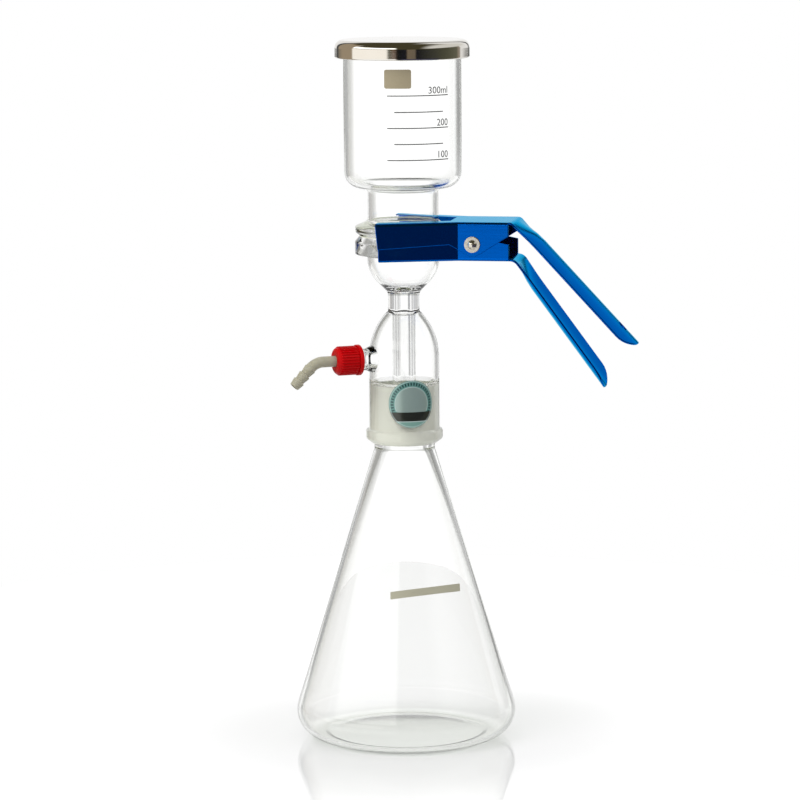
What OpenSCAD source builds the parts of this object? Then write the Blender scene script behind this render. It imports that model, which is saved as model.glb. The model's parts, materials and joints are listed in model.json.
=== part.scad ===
// Vacuum filtration unit: a conical receiver flask, a ground-jointed filter base with a
// side port, a graduated funnel, a steel lid and a sprung clamp on the two flanges.
// Millimetres, +Z up. The origin is the middle of the flask's foot, the clamp lies
// along +X and its hinge pin lies along Y.

/* [Receiver flask] */
// Widest radius of the flask body
flask_r = 71; // [62:1:82]
// Height of the wide end of the ground joint above the table
flask_joint_z = 192.7; // [150:0.1:260]
// How much narrower the neck is than the ground joint's wide end
flask_neck_step = 0.7; // [0.2:0.1:1.5]
// Radius of the rounded corner between side and foot
flask_corner_r = 17.5; // [12:0.5:22]
// Glass thickness of the flask
flask_wall = 2.4; // [1.8:0.1:3]
// Width of the flat foot ring
foot_w = 3; // [2:0.5:5]
// How far the middle of the base is pushed up
punt_h = 3; // [1:0.5:5]

/* [Ground joint] */
// Radius of the taper joint at its wide end
joint_r = 20; // [19:0.5:21]
// Length of the ground taper
joint_len = 38; // [30:1:44]
// Radial clearance between cone and socket
joint_fit = 0.05; // [0.02:0.01:0.1]

/* [Filter base] */
// Glass thickness of the socket round the joint's wide end
socket_wall = 2.7; // [2.5:0.1:4]
// Glass thickness of the chamber and bowl
base_wall = 2.2; // [1.8:0.1:2.4]
// Height of the chamber wall from the socket mouth to the dome
chamber_h = 54.8; // [50:0.1:70]
// Radius of the dome's arc, which gives it its ogive shape
dome_arc_r = 44; // [40:1:50]
// How far the bead round the socket mouth stands out from the socket
bead_out = 2.1; // [1.5:0.1:4]
// Height of the bead's straight side
bead_h = 5.5; // [3:0.5:8]
// Outer radius of the thick tube between dome and bowl
neck_tube_r = 10.1; // [9:0.1:12]
// Height of the bowl's sphere centre above the chamber wall
bowl_rise = 65.5; // [62:0.5:75]
// Outer radius of the bowl under the flange
bowl_r = 23.4; // [22.5:0.1:23.8]
// Radius of the bore that drains the bowl
drain_r = 4.2; // [3:0.1:5]
// Outer radius of the drip stem
drip_r = 7.5; // [6.5:0.1:9]
// How far the drip stem's tip stands above the socket mouth
drip_tip_h = 13; // [6:1:30]

/* [Clamping flanges] */
// How far the filter base's flange stands out from the bowl
flange_out = 7.6; // [7:0.1:9.5]
// How much smaller the radius of the funnel's flange is
flange_step = 0.25; // [0:0.05:1]
// Height of the base flange's straight edge
base_flange_edge = 8.2; // [5:0.1:10]
// Height of the chamfer from a flange's edge to its ground face, base side
base_flange_chamfer = 3.5; // [2:0.1:5]
// Width of the chamfer round the ground sealing faces
seal_chamfer = 3; // [2:0.5:5]
// Diameter of the sintered glass disc
frit_d = 40.6; // [38:0.1:42]
// Thickness of the sintered glass disc
frit_t = 4.2; // [3:0.1:5]
// Clearance round the sintered disc
frit_fit = 0.05; // [0.02:0.01:0.1]
// Diameter of the membrane filter
membrane_d = 50; // [47:1:52]
// Thickness of the membrane filter
membrane_t = 0.2; // [0.1:0.05:0.3]

/* [Funnel] */
// Outer radius of the funnel's cup
cup_r = 37.6; // [35:0.1:42]
// Outer radius of the funnel's neck
funnel_neck_r = 22.75; // [22.3:0.05:23.3]
// Glass thickness of the funnel
funnel_wall = 2.5; // [2:0.1:3]
// Height of the cup's floor above the ground seam
cup_floor_h = 30.8; // [28:0.1:40]
// Height of the rim above the ground seam
rim_h = 124.4; // [100:0.1:160]
// Outer radius of the rounded corner at the foot of the cup
cup_corner_r = 10.5; // [8:0.5:12]
// How far the lip at the rim flares outward
lip_flare = 1.7; // [0.5:0.1:3]

/* [Lid] */
// Radial gap between the funnel's lip and the inside of the lid
lid_gap = 2.85; // [0.5:0.05:3.5]
// Thickness of the lid's sheet
lid_t = 0.9; // [0.6:0.1:1.5]
// Height of the lid
lid_h = 11.6; // [9:0.1:16]
// Radius of the lid's rounded shoulder
lid_corner_r = 5; // [2:0.5:6]

/* [Vacuum port] */
// Direction of the side port, seen from above, from the clamp
port_azimuth = 212.3; // [150:0.1:250]
// Height of the port axis above the socket mouth
port_h = 55.1; // [48:0.1:60]
// Outer radius of the port's screw thread
port_r = 6.9; // [6:0.1:7]
// Radius of the port's bore
port_bore_r = 4.4; // [3.5:0.1:5]
// Length of the port outside the chamber's wall
port_l = 18.6; // [16:0.1:27]
// Thickness of the seal ring
port_seal_t = 2; // [1:0.1:3]
// Wall thickness of the screw cap
cap_wall = 1.75; // [1.4:0.05:3]
// Length of the screw cap
cap_l = 17; // [15:0.5:20]
// Height of the cap's grip ribs
cap_rib_h = 0.4; // [0.2:0.05:0.6]
// Number of grip ribs
cap_ribs = 36; // [24:2:48]
// How far the rim at the cap's open end stands out
cap_rim_out = 1.1; // [0.8:0.1:2]
// Width of that rim
cap_rim_w = 2.5; // [1:0.5:4]

/* [Hose connector] */
// Outer radius of the connector's tube
hose_tube_r = 3.5; // [3:0.1:3.7]
// Wall thickness of the connector's tube
hose_wall = 1.3; // [1.1:0.1:2]
// Length of straight tube between the cap and the bend
hose_straight = 8; // [4:0.5:15]
// Centre-line radius of the bend
hose_bend_r = 12; // [8:0.5:16]
// Angle of the bend
hose_bend_a = 45; // [0:5:90]
// How far a barb's sharp edge stands out from the tube
barb_out = 0.45; // [0.3:0.05:1]
// Length of one barb
barb_pitch = 5.4; // [4:0.1:7]
// Number of barbs
barbs = 3; // [2:1:4]

/* [Clamp] */
// Thickness of the clamp's sheet
sheet_t = 1.5; // [1:0.1:1.8]
// Radius of the folds between plates and side walls
fold_r = 2; // [1.5:0.1:2.5]
// Splay of the arms to each side of the flanges
splay = 20; // [17:0.1:21]
// How much closer to the middle the rear walls are than the flange's edge
rear_in = 8.4; // [6:0.1:10]
// Distance of the arm tips beyond the flask's axis
tip_x = 11.2; // [8:0.1:16]
// Distance of the hinge pin behind the flange's edge
pivot_back = 17.4; // [15:0.1:23]
// Height of the hinge pin above the underside of the base flange
pivot_h = 8.4; // [7:0.1:10]
// Distance of the walls' rear edge behind the hinge pin
rear_back = 23.1; // [20:0.1:30]
// Gap between a clamp plate and the flange face that it presses
jaw_gap = 0.2; // [0.1:0.05:0.3]
// Gap between the base flange and the lower half's side walls
flange_gap = 0.3; // [0.2:0.05:0.5]
// Gap between the nested side walls
nest_gap = 0.35; // [0.2:0.05:0.4]
// Radius of the ears round the hinge pin
ear_r = 7.8; // [7:0.1:9]
// Length of the upper handle after its bend
upper_handle_l = 109; // [80:1:130]
// Angle of the upper handle below the horizontal
upper_handle_a = 47; // [40:0.5:50]
// Length of the lower handle after its bend
lower_handle_l = 96; // [70:1:120]
// Angle of the lower handle below the horizontal
lower_handle_a = 53.5; // [52:0.5:60]
// Half the width of a handle
handle_half_w = 16.3; // [12:0.1:18]
// Height of a handle's arched section
handle_arch = 4.2; // [2:0.1:6]
// Diameter of the hanging hole near the upper handle's tip
hang_hole_d = 7; // [4:0.5:9]

/* [Hinge pin and spring] */
// Radius of the hinge pin
pin_r = 2; // [1.5:0.1:2.5]
// Running clearance of the pin in the side walls
pin_fit = 0.05; // [0.02:0.01:0.1]
// Radius of the pin's domed heads
pin_head_r = 3; // [2.6:0.1:4]
// Outer radius of the washers
washer_r = 5.15; // [4.5:0.05:6]
// Thickness of the washers
washer_t = 0.8; // [0.5:0.1:1.2]
// Radius of the spring's wire
wire_r = 0.8; // [0.5:0.05:1]
// Mean radius of the spring's coil
coil_r = 4.2; // [3.6:0.1:5]
// Full turns in the spring's coil
coil_turns = 5; // [3:1:7]

/* [Label] */
// Diameter of the round label on the socket
label_d = 30.5; // [20:0.5:34]
// Thickness of the label
label_t = 0.15; // [0.1:0.05:0.3]
// Direction of the label's middle, seen from above, from the clamp
label_azimuth = -67.4; // [-120:0.1:-40]
// Height of the label's middle above the socket mouth
label_h = 27.6; // [24:0.1:34]

/* [Hidden] */

// Slope of a standard ground taper: the radius changes by 1 in 20
joint_taper = 0.05;
// Height of the flask's neck between its cone and the ground joint
neck_step_h = 2.7;
// Height of the chamfer under the bead
bead_chamfer_h = 3;
// Room between the drip stem and the underside of the dome's top
dome_seal_w = 2;
// Height of the straight wall between the bowl's sphere and its flange
bowl_wall_h = 2;
// Rounding of the base flange's lower edge, and height of its sloping underside
flange_round = 0.8;
base_flange_slope = 0.7;
// Width of the ledge that carries the sintered disc
frit_ledge = 2;
// Depth over which that ledge opens out to the bowl
frit_ledge_h = 6.5;
// Sizes of the funnel's flange: height of its chamfer, its edge and its sloping top
funnel_flange_chamfer = 2.2;
funnel_flange_edge = 4;
funnel_flange_slope = 2.7;
// How far outside the bowl the slopes of both flanges end
flange_root = 0.6;
// Radius of the blend between the funnel's neck and the underside of its cup
cup_blend_r = 4;
// Height of the flare under the rim, and of the straight lip above it
lip_h = 9;
lip_edge_h = 3.5;
// Rounding of the lip's two edges
lip_round = 1.25;
// Height of the hem folded inward along the lid's lower edge
lid_hem_h = 2.5;
// Wall thickness of the cap's end, and of the connector's flange
cap_end_t = 2.5;
connector_flange_t = 2;
// Clearances in the cap: to the thread, round the hose tube and behind the flange
cap_thread_gap = 0.15;
cap_hose_gap = 0.25;
cap_end_gap = 0.05;
// Rounded corner of the cap
cap_corner_r = 2.5;
// Clearance of the seal ring and of the connector's flange in the cap
seal_gap = 0.55;
flange_gap_in_cap = 1.15;
// How far the port's glass flares where it joins the chamber, how far that thick part
// reaches out of the wall, and over what length it then tapers
port_flare = 1.6;
port_flare_land = 0.4;
port_flare_l = 3.6;
// How far the root of a barb lies below the tube's surface, and the length of its step
barb_root_step = 0.4;
barb_step_l = 0.6;
// Thickness of the glue under the label
label_glue = 0.03;
// The slot between the arms: how far its rear edge lies behind the flange, half the width
// of that edge, and the clearance at its sides
slot_behind = 1.5;
slot_rear_half_w = 12.5;
slot_gap = 0.1;
// Height of the side walls' free edges above the pin (below it where negative)
upper_tip_edge = -2.5;
upper_bend_edge = -0.2;
lower_tip_edge = 1.5;
lower_bend_edge = 3;
lower_rear_edge = 0.2;
lower_shoulder_edge = 1.7;
// How far the upper wall's lower corner stands back at the tip
tip_slant = 1.7;
// How far ahead of the pin, and behind it, the free edges turn
edge_turn_in = 14.6;
shoulder_in = 15.7;
// Slope of the diagonal edge behind the upper half's ear
ear_slope = 32;
// Bend radii of the handles, on the inner side of the bend
upper_bend_r = 2.7;
lower_bend_r = 6;
// Length over which a handle takes on its arched section
arch_run = 22;
// Length of a handle's rounded tip
handle_tip_l = 13;
// Distance of the hanging hole from the handle's tip
hang_hole_in = 15;
// Height of the pin's domed heads
pin_head_h = 1.6;
// Clearance between the spring's legs and the plates that they push
leg_gap = 0.1;
// Distance of the spring's leg tips behind the pin
leg_reach = 17.7;
// Gap between neighbouring turns of the coil
coil_gap = 0.4;
// Length by which one shape runs into the next, how far such a lap stays inside the
// walls, and a size larger than the whole unit
lap = 0.5;
weld = 0.3;
big = 400;
// Facets of round shapes, and steps of an arc in an outline
$fn = 96;
arc_steps = 10;

// Radii that follow from the joint, the bowl and the port
flask_neck_r = joint_r - flask_neck_step;
chamber_r = joint_r + socket_wall;
bead_r = chamber_r + bead_out;
base_flange_r = bowl_r + flange_out;
funnel_flange_r = base_flange_r - flange_step;
seal_face_r = base_flange_r - seal_chamfer;
flange_back_r = max(bowl_r, funnel_neck_r) + flange_root;
cup_floor_corner_r = min(cup_corner_r, 0.8 * (cup_r - funnel_neck_r));
cap_bore_r = port_r + cap_thread_gap;
cap_r = cap_bore_r + cap_wall;
cap_rim_r = cap_r + cap_rim_out;
hose_bore_r = hose_tube_r - hose_wall;
barb_r = hose_tube_r + barb_out;

// Heights above the table
chamber_top_z = flask_joint_z + chamber_h;
bowl_z = chamber_top_z + bowl_rise;
base_flange_z = bowl_z + bowl_wall_h;
seam_z = base_flange_z + base_flange_edge + base_flange_chamfer;
funnel_z = seam_z + membrane_t;
funnel_top_z = funnel_z + funnel_flange_chamfer + funnel_flange_edge + funnel_flange_slope;
cup_floor_z = seam_z + cup_floor_h;
rim_z = seam_z + rim_h;
pivot_z = base_flange_z + pivot_h;
port_z = flask_joint_z + port_h;

// Planes, places and widths of the clamp halves
pivot_x = base_flange_r + pivot_back;
rear_x = pivot_x + rear_back;
slot_x = base_flange_r + slot_behind;
rear_half_w = base_flange_r - rear_in;
upper_top_z = funnel_top_z + jaw_gap + sheet_t;
lower_under_z = base_flange_z - base_flange_slope - jaw_gap - sheet_t;
lower_arm_d = base_flange_r + flange_gap + sheet_t;
upper_arm_d = lower_arm_d + nest_gap + sheet_t;
lower_half_w = rear_half_w - sheet_t - nest_gap;
slot_r = flange_back_r + slot_gap;

// Places along the port's axis, measured from the chamber's axis
port_reach = chamber_r + port_l;
seal_end = port_reach + port_seal_t;
connector_flange_end = seal_end + connector_flange_t;
cap_end = connector_flange_end + cap_end_gap + cap_end_t;
cap_start = cap_end - cap_l;
cap_hole_r = hose_tube_r + cap_hose_gap;

// Points on an arc about (cx, cy) from angle a0 to a1
function arc(cx, cy, r, a0, a1, steps = arc_steps) =
    [for (i = [0:steps]) let (a = a0 + (a1 - a0) * i / steps) [cx + r * cos(a), cy + r * sin(a)]];

// Points along a shallow cap of height h, from radius r at height z to the axis
function cap_arc(r, z, h) =
    let (big_r = (r * r + h * h) / (2 * h), a = asin(r / big_r))
    arc(0, z + h - big_r, big_r, 90 - a, 90);

// The same points in the opposite order
function reversed(points) = [for (i = [len(points) - 1:-1:0]) points[i]];

// Direction of the line from p that touches the circle (c, r) on its left or right
function tangent_left(p, c, r) = atan2(c[1] - p[1], c[0] - p[0]) + asin(r / norm(c - p));
function tangent_right(p, c, r) = atan2(c[1] - p[1], c[0] - p[0]) - asin(r / norm(c - p));

// Smooth step from 0 to 1
function ease(t) = let (s = min(1, max(0, t))) s * s * (3 - 2 * s);

// ---- Receiver flask ----

// Outline of the flask's side, inset by d: the foot's corner, then the cone to the neck
function flask_side(d) =
    let (c = [flask_r - flask_corner_r, flask_corner_r],
        neck = [flask_neck_r, flask_joint_z - neck_step_h],
        a = tangent_left(neck, c, flask_corner_r) + 90)
    concat(arc(c[0], c[1], flask_corner_r - d, -90, a, 16), [[neck[0] - d / cos(a), neck[1]]]);

module receiver_flask() {
    foot_out_r = flask_r - flask_corner_r;
    foot_in_r = foot_out_r - foot_w;
    cone_r = joint_r - joint_fit;
    cone_top_r = cone_r - joint_taper * joint_len;
    cone_top_z = flask_joint_z + joint_len;
    color("lightcyan") rotate_extrude() polygon(concat(
        reversed(cap_arc(foot_in_r, 0, punt_h)),
        flask_side(0),
        [[cone_r, flask_joint_z], [cone_top_r, cone_top_z], [cone_top_r - flask_wall, cone_top_z]],
        reversed(flask_side(flask_wall)),
        cap_arc(foot_out_r, flask_wall, punt_h)
    ));
}

// ---- Filter base ----

// Outline of the dome, inset by d, from the chamber wall up to radius r
function dome_arc(d, r) =
    let (cx = chamber_r - dome_arc_r)
    arc(cx, chamber_top_z, dome_arc_r - d, 0, acos((r - cx) / (dome_arc_r - d)));

module port_frame() {
    translate([0, 0, port_z]) rotate([0, 0, port_azimuth]) rotate([0, 90, 0]) children();
}

module filter_base_outside() {
    bead_z = flask_joint_z + bead_chamfer_h;
    bowl_blend_a = -50;
    bowl_blend = [bowl_r * cos(bowl_blend_a), bowl_z + bowl_r * sin(bowl_blend_a)];
    neck_top_z = bowl_blend[1] - (bowl_blend[0] - neck_tube_r);
    rotate_extrude() polygon(concat(
        [[0, flask_joint_z], [joint_r + 1, flask_joint_z], [bead_r, bead_z],
            [bead_r, bead_z + bead_h], [chamber_r, bead_z + bead_h + 1]],
        dome_arc(0, neck_tube_r),
        [[neck_tube_r, neck_top_z]],
        arc(0, bowl_z, bowl_r, bowl_blend_a, 0),
        [[bowl_r, base_flange_z - base_flange_slope - flange_back_r + bowl_r],
            [flange_back_r, base_flange_z - base_flange_slope]],
        arc(base_flange_r - flange_round, base_flange_z + flange_round, flange_round, -90, 0, 4),
        [[base_flange_r, seam_z - base_flange_chamfer], [seal_face_r, seam_z], [0, seam_z]]
    ));
}

module chamber_hollow() {
    joint_top_r = joint_r - joint_taper * joint_len;
    chamber_in_r = chamber_r - base_wall;
    drip_tip_z = flask_joint_z + drip_tip_h;
    dome_in = dome_arc(base_wall, drip_r + dome_seal_w);
    rotate_extrude() polygon(concat(
        [[0, flask_joint_z - 1], [joint_r + joint_taper, flask_joint_z - 1],
            [joint_top_r, flask_joint_z + joint_len],
            [chamber_in_r, flask_joint_z + joint_len + chamber_in_r - joint_top_r]],
        dome_in,
        [[drip_r, dome_in[arc_steps][1]], [drip_r, drip_tip_z + 1], [drip_r - 1, drip_tip_z],
            [0, drip_tip_z]]
    ));
}

module bowl_hollow() {
    bowl_in_r = bowl_r - base_wall;
    frit_seat_r = frit_d / 2 + frit_fit;
    frit_z = seam_z - frit_t;
    rotate_extrude() polygon(concat(
        [[0, flask_joint_z], [drain_r, flask_joint_z]],
        arc(0, bowl_z, bowl_in_r, -acos(drain_r / bowl_in_r), 0),
        [[bowl_in_r, frit_z - frit_ledge_h], [frit_seat_r - frit_ledge, frit_z],
            [frit_seat_r, frit_z], [frit_seat_r, seam_z + 1], [0, seam_z + 1]]
    ));
}

module port_bore() {
    port_frame() translate([0, 0, drip_r + 1]) cylinder(r = port_bore_r, h = port_reach);
}

module filter_base() {
    color("lightcyan") difference() {
        filter_base_outside();
        chamber_hollow();
        bowl_hollow();
        port_bore();
    }
}

// The chamber and its dome as a plain solid
module chamber_body() {
    top = dome_arc(0, neck_tube_r);
    rotate_extrude() polygon(concat([[0, flask_joint_z], [chamber_r, flask_joint_z]], top,
        [[0, top[arc_steps][1]]]));
}

// The port's tube, fused to the chamber along the outside of its wall
module side_port() {
    flare_r = port_r + port_flare;
    flare_start = chamber_r + port_flare_land;
    color("lightcyan") difference() {
        port_frame() rotate_extrude() polygon([[port_bore_r, drip_r + 1], [flare_r, drip_r + 1],
            [flare_r, flare_start], [port_r, flare_start + port_flare_l], [port_r, port_reach],
            [port_bore_r, port_reach]]);
        chamber_body();
    }
}

module sintered_disc() {
    color("ivory") translate([0, 0, seam_z - frit_t]) cylinder(d = frit_d, h = frit_t);
}

module membrane_filter() {
    color("white") translate([0, 0, seam_z]) cylinder(d = membrane_d, h = membrane_t);
}

// ---- Funnel and lid ----

// Outline of the funnel's wall, inset by d: neck, blend, cup floor, corner and flared lip
function funnel_wall_line(d) =
    let (room = cup_r - cup_floor_corner_r - funnel_neck_r,
        blend_r = min(cup_blend_r, room - 0.1),
        lip_r = cup_r + lip_flare)
    concat(arc(funnel_neck_r + blend_r, cup_floor_z - blend_r, blend_r + d, 180, 90),
        arc(cup_r - cup_floor_corner_r, cup_floor_z + cup_floor_corner_r,
            cup_floor_corner_r - d, -90, 0),
        [[cup_r - d, rim_z - lip_h], [lip_r - d, rim_z - lip_edge_h]]);

module funnel() {
    edge_z = funnel_z + funnel_flange_chamfer;
    lip_r = cup_r + lip_flare;
    color("lightcyan") rotate_extrude() polygon(concat(
        [[funnel_neck_r - funnel_wall, funnel_z], [seal_face_r, funnel_z],
            [funnel_flange_r, edge_z], [funnel_flange_r, edge_z + funnel_flange_edge],
            [flange_back_r, funnel_top_z],
            [funnel_neck_r, funnel_top_z + flange_back_r - funnel_neck_r]],
        funnel_wall_line(0),
        arc(lip_r - lip_round, rim_z - lip_round, lip_round, 0, 90, 4),
        arc(lip_r - funnel_wall + lip_round, rim_z - lip_round, lip_round, 90, 180, 4),
        reversed(funnel_wall_line(funnel_wall))
    ));
}

module lid() {
    out_r = cup_r + lip_flare + lid_gap + lid_t;
    corner_r = min(lid_corner_r, lid_gap + lid_t + lip_round);
    top_z = rim_z + lid_t;
    low_z = top_z - lid_h;
    color("silver") rotate_extrude() polygon(concat(
        [[0, top_z]],
        arc(out_r - corner_r, top_z - corner_r, corner_r, 90, 0),
        arc(out_r - lid_t, low_z + lid_t, lid_t, 0, -180),
        [[out_r - 2 * lid_t, low_z + lid_hem_h], [out_r - lid_t, low_z + lid_hem_h + lid_t]],
        arc(out_r - corner_r, top_z - corner_r, corner_r - lid_t, 0, 90),
        [[0, rim_z]]
    ));
}

// ---- Vacuum port fittings: local +Z runs outward along the port, local +X points down ----

module cap_rib_ring(length) {
    step = 360 / cap_ribs;
    valley_r = cap_r + 0.05;
    crest_r = cap_r + cap_rib_h;
    outline = [for (i = [0:cap_ribs - 1], k = [[0.1, valley_r], [0.3, crest_r], [0.6, crest_r],
        [0.8, valley_r]]) let (a = (i + k[0]) * step) [k[1] * cos(a), k[1] * sin(a)]];
    linear_extrude(length) difference() {
        polygon(outline);
        circle(cap_r - lap);
    }
}

module screw_cap() {
    rim_end = cap_start + cap_rim_w;
    corner_z = cap_end - cap_corner_r;
    color("red") port_frame() {
        rotate_extrude() polygon(concat(
            [[cap_bore_r, cap_start], [cap_rim_r, cap_start], [cap_rim_r, rim_end],
                [cap_r, rim_end]],
            arc(cap_r - cap_corner_r, corner_z, cap_corner_r, 0, 90),
            [[cap_hole_r, cap_end], [cap_hole_r, cap_end - cap_end_t],
                [cap_bore_r, cap_end - cap_end_t]]
        ));
        translate([0, 0, rim_end - lap]) cap_rib_ring(corner_z - rim_end + lap);
    }
}

module port_seal() {
    seal_r = cap_bore_r - seal_gap;
    color("white") port_frame() translate([0, 0, port_reach]) difference() {
        cylinder(r = seal_r, h = port_seal_t);
        translate([0, 0, -1]) cylinder(r = hose_bore_r, h = port_seal_t + 2);
    }
}

module hose_connector() {
    bend_start = cap_end + hose_straight;
    flange_r = cap_bore_r - flange_gap_in_cap;
    root_r = hose_tube_r - barb_root_step;
    color("tan") port_frame() {
        rotate_extrude() polygon([[hose_bore_r, seal_end], [flange_r, seal_end],
            [flange_r, connector_flange_end], [hose_tube_r, connector_flange_end],
            [hose_tube_r, bend_start], [hose_bore_r, bend_start]]);
        translate([hose_bend_r, 0, bend_start]) rotate([90, 0, 0])
            rotate_extrude(angle = hose_bend_a, start = 180 - hose_bend_a)
                translate([hose_bend_r, 0]) difference() {
                    circle(hose_tube_r);
                    circle(hose_bore_r);
                }
        translate([hose_bend_r * (1 - cos(hose_bend_a)), 0,
            bend_start + hose_bend_r * sin(hose_bend_a)]) rotate([0, hose_bend_a, 0])
            rotate_extrude() polygon(concat(
                [[hose_bore_r, 0], [hose_bore_r + weld, 0], [hose_bore_r + weld, -lap],
                    [hose_tube_r - weld, -lap], [hose_tube_r - weld, 0], [hose_tube_r, 0]],
                [for (i = [0:barbs - 1], k = [[barb_r, i * barb_pitch + barb_step_l],
                    [root_r, (i + 1) * barb_pitch]]) k],
                [[hose_bore_r, barbs * barb_pitch]]
            ));
    }
}

// ---- Clamp ----

// Where, along X, a wall's rear line at half width w meets its arm line at distance d
function wall_bend_x(w, d) = (d / cos(splay) - w) / tan(splay);

// Half width of an arm line at distance d from the axis, at place x
function arm_half_w(d, x) = d / cos(splay) - x * tan(splay);

// Section of a folded edge: y is the height, x the distance out from the wall's outer
// face. Its flat end laps into the plate.
module fold_section(depth) {
    in_r = fold_r - sheet_t;
    polygon(concat(
        [[-sheet_t, -depth], [0, -depth]],
        arc(-fold_r, -fold_r, fold_r, 0, 90),
        [[-fold_r - lap, 0], [-fold_r - lap, -sheet_t]],
        arc(-fold_r, -fold_r, in_r, 90, 0)
    ));
}

// One side's wall with its fold: a straight rear run and a splayed arm, mitred together
module folded_side(w, d, depth) {
    bend_x = wall_bend_x(w, d);
    translate([bend_x, w, 0]) {
        intersection() {
            translate([-2 * fold_r, 0, 0]) rotate([90, 0, 90])
                linear_extrude(rear_x - bend_x + 2 * fold_r) fold_section(depth);
            rotate([0, 0, -splay / 2]) translate([0, -big / 2, -big / 2]) cube(big);
        }
        intersection() {
            rotate([0, 0, -splay]) translate([-big / 4, 0, 0]) rotate([90, 0, 90])
                linear_extrude(big / 4 + 2 * fold_r) fold_section(depth);
            rotate([0, 0, -splay / 2]) translate([-big, -big / 2, -big / 2]) cube(big);
        }
    }
}

// Flat plate between the folds, with the slot that clears the neck and the bowl
module slotted_plate(w, d) {
    flat_w = w - fold_r - lap / 2;
    flat_d = d - fold_r - lap / 2;
    front_x = -2 * tip_x;
    slot_a = tangent_right([slot_x, slot_rear_half_w], [0, 0], slot_r);
    slot_end_w = slot_rear_half_w - (slot_x - 3 * front_x) * tan(slot_a);
    half = [[front_x, arm_half_w(flat_d, front_x)],
        [wall_bend_x(flat_w, flat_d), flat_w], [rear_x, flat_w]];
    slot = [[slot_x, slot_rear_half_w], [3 * front_x, slot_end_w]];
    translate([0, 0, -sheet_t]) linear_extrude(sheet_t) difference() {
        polygon(concat(half, reversed([for (p = half) [p[0], -p[1]]])));
        polygon(concat(slot, reversed([for (p = slot) [p[0], -p[1]]])));
    }
}

// Sheet of a clamp half with its outer face at z = 0 and its walls hanging below
module folded_sheet(w, d) {
    depth = upper_top_z - lower_under_z;
    slotted_plate(w, d);
    folded_side(w, d, depth);
    mirror([0, 1, 0]) folded_side(w, d, depth);
}

// Extends an outline drawn in the XZ plane across the whole clamp
module across() {
    translate([0, big / 2, 0]) rotate([90, 0, 0]) linear_extrude(big) children();
}

function pivot() = [pivot_x, pivot_z];

// Free edge from p to the ear: p, then the touching point on the ear, on the side given
function ear_tangent(p, side) =
    let (a = side > 0 ? tangent_left(p, pivot(), ear_r) : tangent_right(p, pivot(), ear_r))
    pivot() + ear_r * [-side * sin(a), side * cos(a)];

module upper_outline() {
    turn = [pivot_x - edge_turn_in, pivot_z + upper_bend_edge];
    diagonal = pivot() + ear_r * [sin(ear_slope), -cos(ear_slope)];
    diagonal_rear_z = diagonal[1] + (rear_x - diagonal[0]) * tan(ear_slope);
    polygon([[-tip_x, upper_top_z + 1], [rear_x, upper_top_z + 1], [rear_x, diagonal_rear_z],
        diagonal, pivot(), ear_tangent(turn, -1), turn,
        [tip_slant - tip_x, pivot_z + upper_tip_edge]]);
    translate(pivot()) circle(ear_r);
}

module lower_outline() {
    turn = [pivot_x - edge_turn_in, pivot_z + lower_bend_edge];
    shoulder = [pivot_x + shoulder_in, pivot_z + lower_shoulder_edge];
    front_x = tip_slant - tip_x;
    polygon([[front_x, lower_under_z - 1], [rear_x, lower_under_z - 1],
        [rear_x, pivot_z + lower_rear_edge], shoulder, ear_tangent(shoulder, -1), pivot(),
        ear_tangent(turn, 1), turn, [front_x, pivot_z + lower_tip_edge]]);
    translate(pivot()) circle(ear_r);
}

// Handle's outer face along its middle at length s: [x, z, slope below the horizontal]
function handle_path(s, bend_r, angle) =
    let (bend_l = bend_r * angle * PI / 180,
        h = angle * min(1, s / bend_l),
        run = max(0, s - bend_l))
    [bend_r * sin(h) + run * cos(angle), -bend_r * (1 - cos(h)) - run * sin(angle), h];

// Arched handle strip. Its outer face starts at the origin, side is 1 where that face is
// on top and -1 where it is underneath. bend_r is that face's own bend radius.
module handle(root_half_w, length, angle, bend_r, side) {
    bend_l = bend_r * angle * PI / 180;
    total = bend_l + length;
    tip_start = total - handle_tip_l;
    rows = 20;
    tip_rows = 8;
    columns = 12;
    places = concat(
        [for (i = [0:5]) [bend_l * i / 6, 1]],
        [for (i = [0:rows - 6]) [bend_l + (tip_start - bend_l) * i / (rows - 6), 1]],
        [for (i = [1:tip_rows]) let (a = 88 * i / tip_rows)
            [tip_start + handle_tip_l * sin(a), cos(a)]]
    );
    ring = [for (place = places)
        let (s = place[0], p = handle_path(s, bend_r, angle),
            n = side * [sin(p[2]), cos(p[2])],
            blend = ease(s / arch_run),
            full_w = root_half_w + (handle_half_w - root_half_w) * blend,
            half_w = full_w * place[1],
            arch = handle_arch * blend)
        [for (k = [0, 1], j = [0:columns])
            let (y = half_w * (2 * (k == 0 ? j : columns - j) / columns - 1),
                steep = 2 * arch * y / (full_w * full_w),
                slant = norm([1, steep]),
                rise = arch * (1 - y * y / (full_w * full_w)) - k * sheet_t / slant)
            [p[0] + n[0] * rise, y - k * sheet_t * steep / slant, p[1] + n[1] * rise]]];
    size = 2 * (columns + 1);
    last = (len(places) - 1) * size;
    function quad(a, b, c, d) = side > 0 ? [[a, b, c], [a, c, d]] : [[c, b, a], [d, c, a]];
    faces = concat(
        [for (i = [0:len(places) - 2], j = [0:size - 1])
            let (a = i * size + j, b = i * size + (j + 1) % size)
            each quad(a, b, b + size, a + size)],
        [for (j = [0:columns - 1]) each quad(size - 1 - j, size - 2 - j, j + 1, j)],
        [for (j = [0:columns - 1])
            each quad(last + j, last + j + 1, last + size - 2 - j, last + size - 1 - j)]
    );
    polyhedron([for (r = ring, q = r) q], faces);
}

module pin_hole() {
    translate([pivot_x, 0, pivot_z]) rotate([90, 0, 0])
        cylinder(r = pin_r + pin_fit, h = big, center = true);
}

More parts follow.
